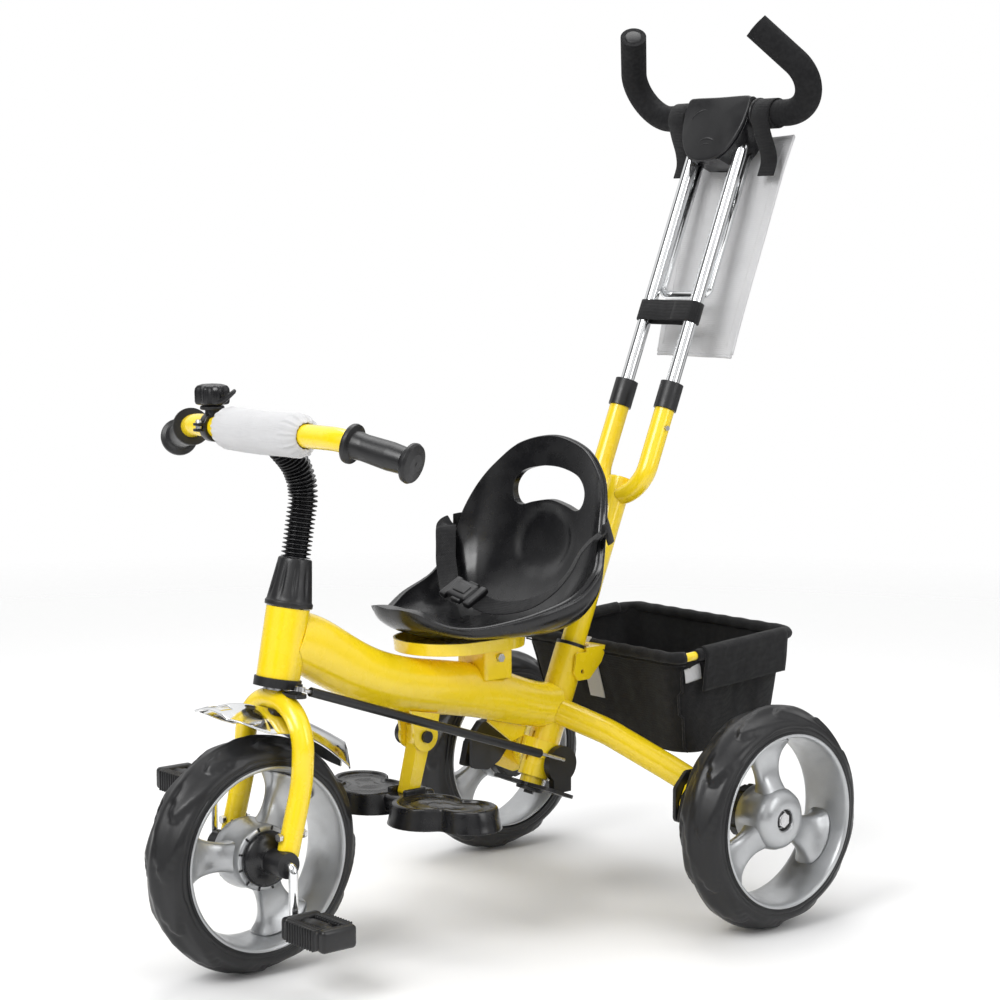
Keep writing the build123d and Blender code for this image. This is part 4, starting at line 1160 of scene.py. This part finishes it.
def make_handle_hub():
    plates = join(hub_plate(17.05, 3.6, 1.8, 1.0), arc_on_hub(-10, 797, 26, 100, 165, 21.2, 1.5))
    plate = piece("hub_shield", *plates, "black_plastic", "upper_handle")
    bevel(plate, 0.0005, angle_limit=math.radians(50))
    points, faces = hub_plate(0, 2.4, 1.2, 0.96)
    behind = [p - OUT_OF_HANDLE * (2 * (p - SEAT_TUBE_FOOT).dot(OUT_OF_HANDLE) + 18.0) for p in points]
    piece("hub_back", behind, faces, "black_plastic", "upper_handle")
    clamps = []
    for hand in (-1, 1):
        clamps.append(turned([(10, -2), (18.2, -2), (19, -1), (19, 3), (18, 4.2), (10, 4.2)],
                             on_handle(hand * 50.5, CROSS_TUBE), (hand, 0, 0), 48))
    piece("hub_collars", *join(*clamps), "black_plastic", "upper_handle")
    button = join(
        arc_on_hub(0, 766, 15, 20, 160, 20.8, 2.0),
        arc_on_hub(0, 762, 11, 28, 152, 20.8, 1.4))
    piece("release_crescent", *button, "black_plastic", "release_button", ["release_button"])
    plugs = []
    for hand in (-1, 1):
        tip, knee = (Vector((hand * x, y, z)) for x, y, z in (FOAM_TIP, FOAM_KNEE))
        plugs.append(turned_solid([(0.4, -3), (9.4, -3), (10.2, -0.8), (10.2, 0.2), (8.6, 0.9), (0.4, 1.0)],
                                  tip, tip - knee, 40))
    piece("foam_end_plugs", *join(*plugs), "black_plastic", "upper_handle")


def make_chrome_tubes():
    """The two telescopic tubes and the wire loop behind them."""
    parts = []
    for hand in (-1, 1):
        x = hand * YOKE_HALF
        parts.append(tube(even([on_handle(x, 404), on_handle(x, 778)], 40), 8.0, 48))
        for along in (600, 735):
            parts.append(tube([on_handle(x, along, -13), on_handle(x, along, -2)], 3.0, 20))
    corners = [on_handle(across, along, -14) for across, along in (
        (-YOKE_HALF, 776), (-YOKE_HALF, 592), (YOKE_HALF, 592), (YOKE_HALF, 776))]
    parts.append(tube(bent(corners, 10), 5.0, 32))
    piece("chrome_tubes", *join(*parts), "chrome", "upper_handle", ["handle_tubes"])


def make_straps():
    parts = []
    middle = on_handle(0, 565)
    path, outward = [], []
    for turn in turns(96):
        aside = math.cos(turn)
        ray = Vector((1, 0, 0)) * aside + OUT_OF_HANDLE * math.sin(turn)
        flat = 1.6 * max(0.0, 1 - abs(aside) * 2.2)
        shift = math.copysign(YOKE_HALF * min(1.0, abs(aside) * 2.4), aside)
        path.append(middle + Vector((shift, 0, 0)) + ray * (9.4 - flat))
        outward.append(ray)
    parts.append(band(path, outward, ALONG_POST, 25, 1.9))
    first, last = 4, 22
    lap = [p + n * 1.5 for p, n in zip(path, outward)][first:last + 1]
    parts.append(ribbon(lap, lambda way: outward[first + round(way * (last - first))], 23, 1.2))
    for hand in (-1, 1):
        centre = on_handle(hand * 69, CROSS_TUBE)
        away = [ALONG_POST * math.cos(turn) + OUT_OF_HANDLE * math.sin(turn) for turn in turns(48)]
        ring = [centre + ray * 16.7 for ray in away]
        parts.append(band(ring, away, Vector((1, 0, 0)), 27, 2.0))
        tail = curve_through([on_handle(hand * x, along, out) for x, along, out in (
            (69, 812, 17.6), (69, 801, 14.6), (69.5, 786, 2), (70, 772, -12), (70, 760, -18.6),
            (70, 744, -19.4))], 8)
        parts.append(ribbon(tail, OUT_OF_HANDLE, 26, 1.8))
    made = piece("handle_webbing", *join(*parts), "black_fabric", "upper_handle",
                 ["webbing_straps"], webbing)
    bevel(made, 0.0003, 1)


def make_bag():
    """Flat cloth bag that hangs from the two straps behind the tubes."""
    columns, levels = 61, 90
    rows = []
    for level in range(levels):
        way = level / (levels - 1)
        row = []
        for column in range(columns):
            u = 2 * column / (columns - 1) - 1
            half = 85 - 24 * way - 2.2 * math.sin(math.pi * way)
            sag = 3.4 * (1 - u * u) * math.exp(-way * 9)
            soft = 1.9 * noise.noise(Vector((u * 1.7, way * 2.1, 4))) * min(1.0, way * 5)
            crease = 1.1 * math.sin(7 * u + 2.2 * way) * math.exp(-3 * way) * min(1.0, way * 9)
            curl = 2.2 * abs(u) ** 8 * way
            out = 2.2 + soft + crease - curl
            down = BAG_DOWN * (BAG_DROP * way + sag)
            row.append(Vector((half * u, *BAG_TOP)) + down + OUT_OF_HANDLE * out)
        rows.append(row)
    made = piece("bag_panel", *patch(rows), "grey_fabric", "upper_handle", ["handle_bag"])
    thicken(made, 0.0022)
    edges = []
    for line in ([row[0] for row in rows], [row[-1] for row in rows], rows[0], rows[-1]):
        edges.append(tube(line[::2], 1.9, 8))
    for share in (4, -5):
        edges.append(tube([row[share] + OUT_OF_HANDLE * 1.2 for row in rows[3:-3:2]], 0.45, 6))
    hem = piece("bag_hems", *join(*edges), "grey_fabric", "upper_handle")


for make in (
        make_wheels, make_hose, make_headset_cap, make_handlebar_pad, make_bell, make_seat_shell,
        make_belt, make_fender, make_pedals, make_foot_trays, make_basket, make_handle_hub,
        make_chrome_tubes, make_straps, make_bag):
    make()


# ---------------------------------------------------------------- carried-over nodes, stage, camera

slot_of = {part["node"]: part["material_slot"] for part in frame["record"]["subparts"]}
for node, thing in frame["nodes"].items():
    if not thing.hide_render:
        thing.data.materials.clear()
        thing.data.materials.append(own_looks.get(node, looks[slot_of[node]]))


FLOOR_R = 3.5                   # metres; the floor fades out before its edge


def make_stage():
    points = [(FLOOR_R * math.cos(turn), FLOOR_R * math.sin(turn), 0) for turn in turns(96)]
    floor = new_object("floor", points, [tuple(range(96))])
    look = Look("floor", (0.88, 0.88, 0.88), 0.7, Specular_IOR_Level=0.1)
    reach = look.node("ShaderNodeVectorMath", {0: look.place}, operation="LENGTH").outputs["Value"]
    look.tree.links.new(look.between(reach, 1.0, 0.0, 1.1, 3.2), look.shader.inputs["Alpha"])
    floor.data.materials.append(look.material)


STUDIO_BANDS = (                # bearing, as a share of a full turn, and the studio's brightness there
    (0.0, 1.0), (1.0, 1.0), (0.08, 1.0), (0.11, 0.12), (0.17, 0.10), (0.20, 1.0), (0.29, 1.0),
    (0.31, 0.15), (0.35, 0.15), (0.37, 1.0), (0.45, 1.0), (0.48, 0.12), (0.53, 0.12), (0.56, 1.0),
    (0.70, 1.0), (0.73, 0.2), (0.79, 0.2), (0.82, 1.0),
)
STUDIO_HEIGHTS = (              # height, from straight down at 0 to straight up at 1, and brightness
    (0.0, 0.75), (0.44, 0.62), (0.5, 0.22), (0.56, 0.50), (0.7, 0.85), (1.0, 1.0))
STUDIO_STRENGTH = 1.12


def grey_ramp(tree, place, stops):
    made = add_node(tree, "ShaderNodeValToRGB", {"Fac": place})
    elements = made.color_ramp.elements
    for index, (where, level) in enumerate(stops):
        stop = elements[index] if index < 2 else elements.new(where)
        stop.position = where
        stop.color = (level, level, level, 1)
    return made.outputs["Color"]


def make_world():
    """A studio of bright and dark bands for the reflections, seen as plain white."""
    world = bpy.data.worlds.new("studio")
    scene.world = world
    world.use_nodes = True
    tree = world.node_tree
    tree.nodes.clear()
    way = add_node(tree, "ShaderNodeTexCoord").outputs["Generated"]
    split = add_node(tree, "ShaderNodeSeparateXYZ", {0: way}).outputs
    height = add_node(tree, "ShaderNodeMapRange", {"Value": split["Z"], "From Min": -1})
    bearing = add_node(tree, "ShaderNodeMath", {0: split["Y"], 1: split["X"]}, operation="ARCTAN2")
    share = add_node(tree, "ShaderNodeMapRange", {
        "Value": bearing.outputs[0], "From Min": -math.pi, "From Max": math.pi})
    studio = add_node(tree, "ShaderNodeMix", {
        0: 1.0, 6: grey_ramp(tree, height.outputs["Result"], STUDIO_HEIGHTS),
        7: grey_ramp(tree, share.outputs["Result"], STUDIO_BANDS),
    }, data_type="RGBA", blend_type="MULTIPLY")
    lit = add_node(tree, "ShaderNodeBackground", {
        "Color": studio.outputs[2], "Strength": STUDIO_STRENGTH})
    seen = add_node(tree, "ShaderNodeBackground", {"Color": (1, 1, 1, 1), "Strength": 1.0})
    by_camera = add_node(tree, "ShaderNodeLightPath").outputs["Is Camera Ray"]
    mix = add_node(tree, "ShaderNodeMixShader", {0: by_camera, 1: lit.outputs[0], 2: seen.outputs[0]})
    add_node(tree, "ShaderNodeOutputWorld", {"Surface": mix.outputs[0]})


def make_light(name, place, aim, size, power):
    data = bpy.data.lights.new(name, "AREA")
    data.shape = "RECTANGLE"
    data.size, data.size_y = size
    data.energy = power
    lamp = bpy.data.objects.new(name, data)
    lamp.location = place
    lamp.rotation_mode = "QUATERNION"
    lamp.rotation_quaternion = (Vector(aim) - Vector(place)).to_track_quat("-Z", "Y")
    scene.collection.objects.link(lamp)


def make_camera():
    """The photograph's camera."""
    azimuth, pitch = math.radians(49.79), math.radians(6.17)
    level = math.cos(pitch)
    back = Vector((math.sin(azimuth) * level, -math.cos(azimuth) * level, math.sin(pitch)))
    right = Vector((math.cos(azimuth), math.sin(azimuth), 0))
    up = back.cross(right)
    data = bpy.data.cameras.new("camera")
    data.lens = 85.92
    data.sensor_width = 36
    camera = bpy.data.objects.new("camera", data)
    turn = Matrix((right, up, back)).transposed().to_4x4()
    camera.matrix_world = Matrix.Translation((2.015, -1.6628, 0.7558)) @ turn
    scene.collection.objects.link(camera)
    scene.camera = camera


make_stage()
make_world()
make_light("key", (0.6, -2.6, 2.6), (0, 0, 0.4), (1.6, 1.6), 66)
make_light("fill", (2.8, 0.6, 1.6), (0, 0, 0.4), (1.2, 2.0), 22)
make_light("top", (-0.6, 0.6, 3.0), (0, 0, 0.3), (2.0, 2.0), 35)
make_camera()
scene.view_settings.view_transform = "Standard"
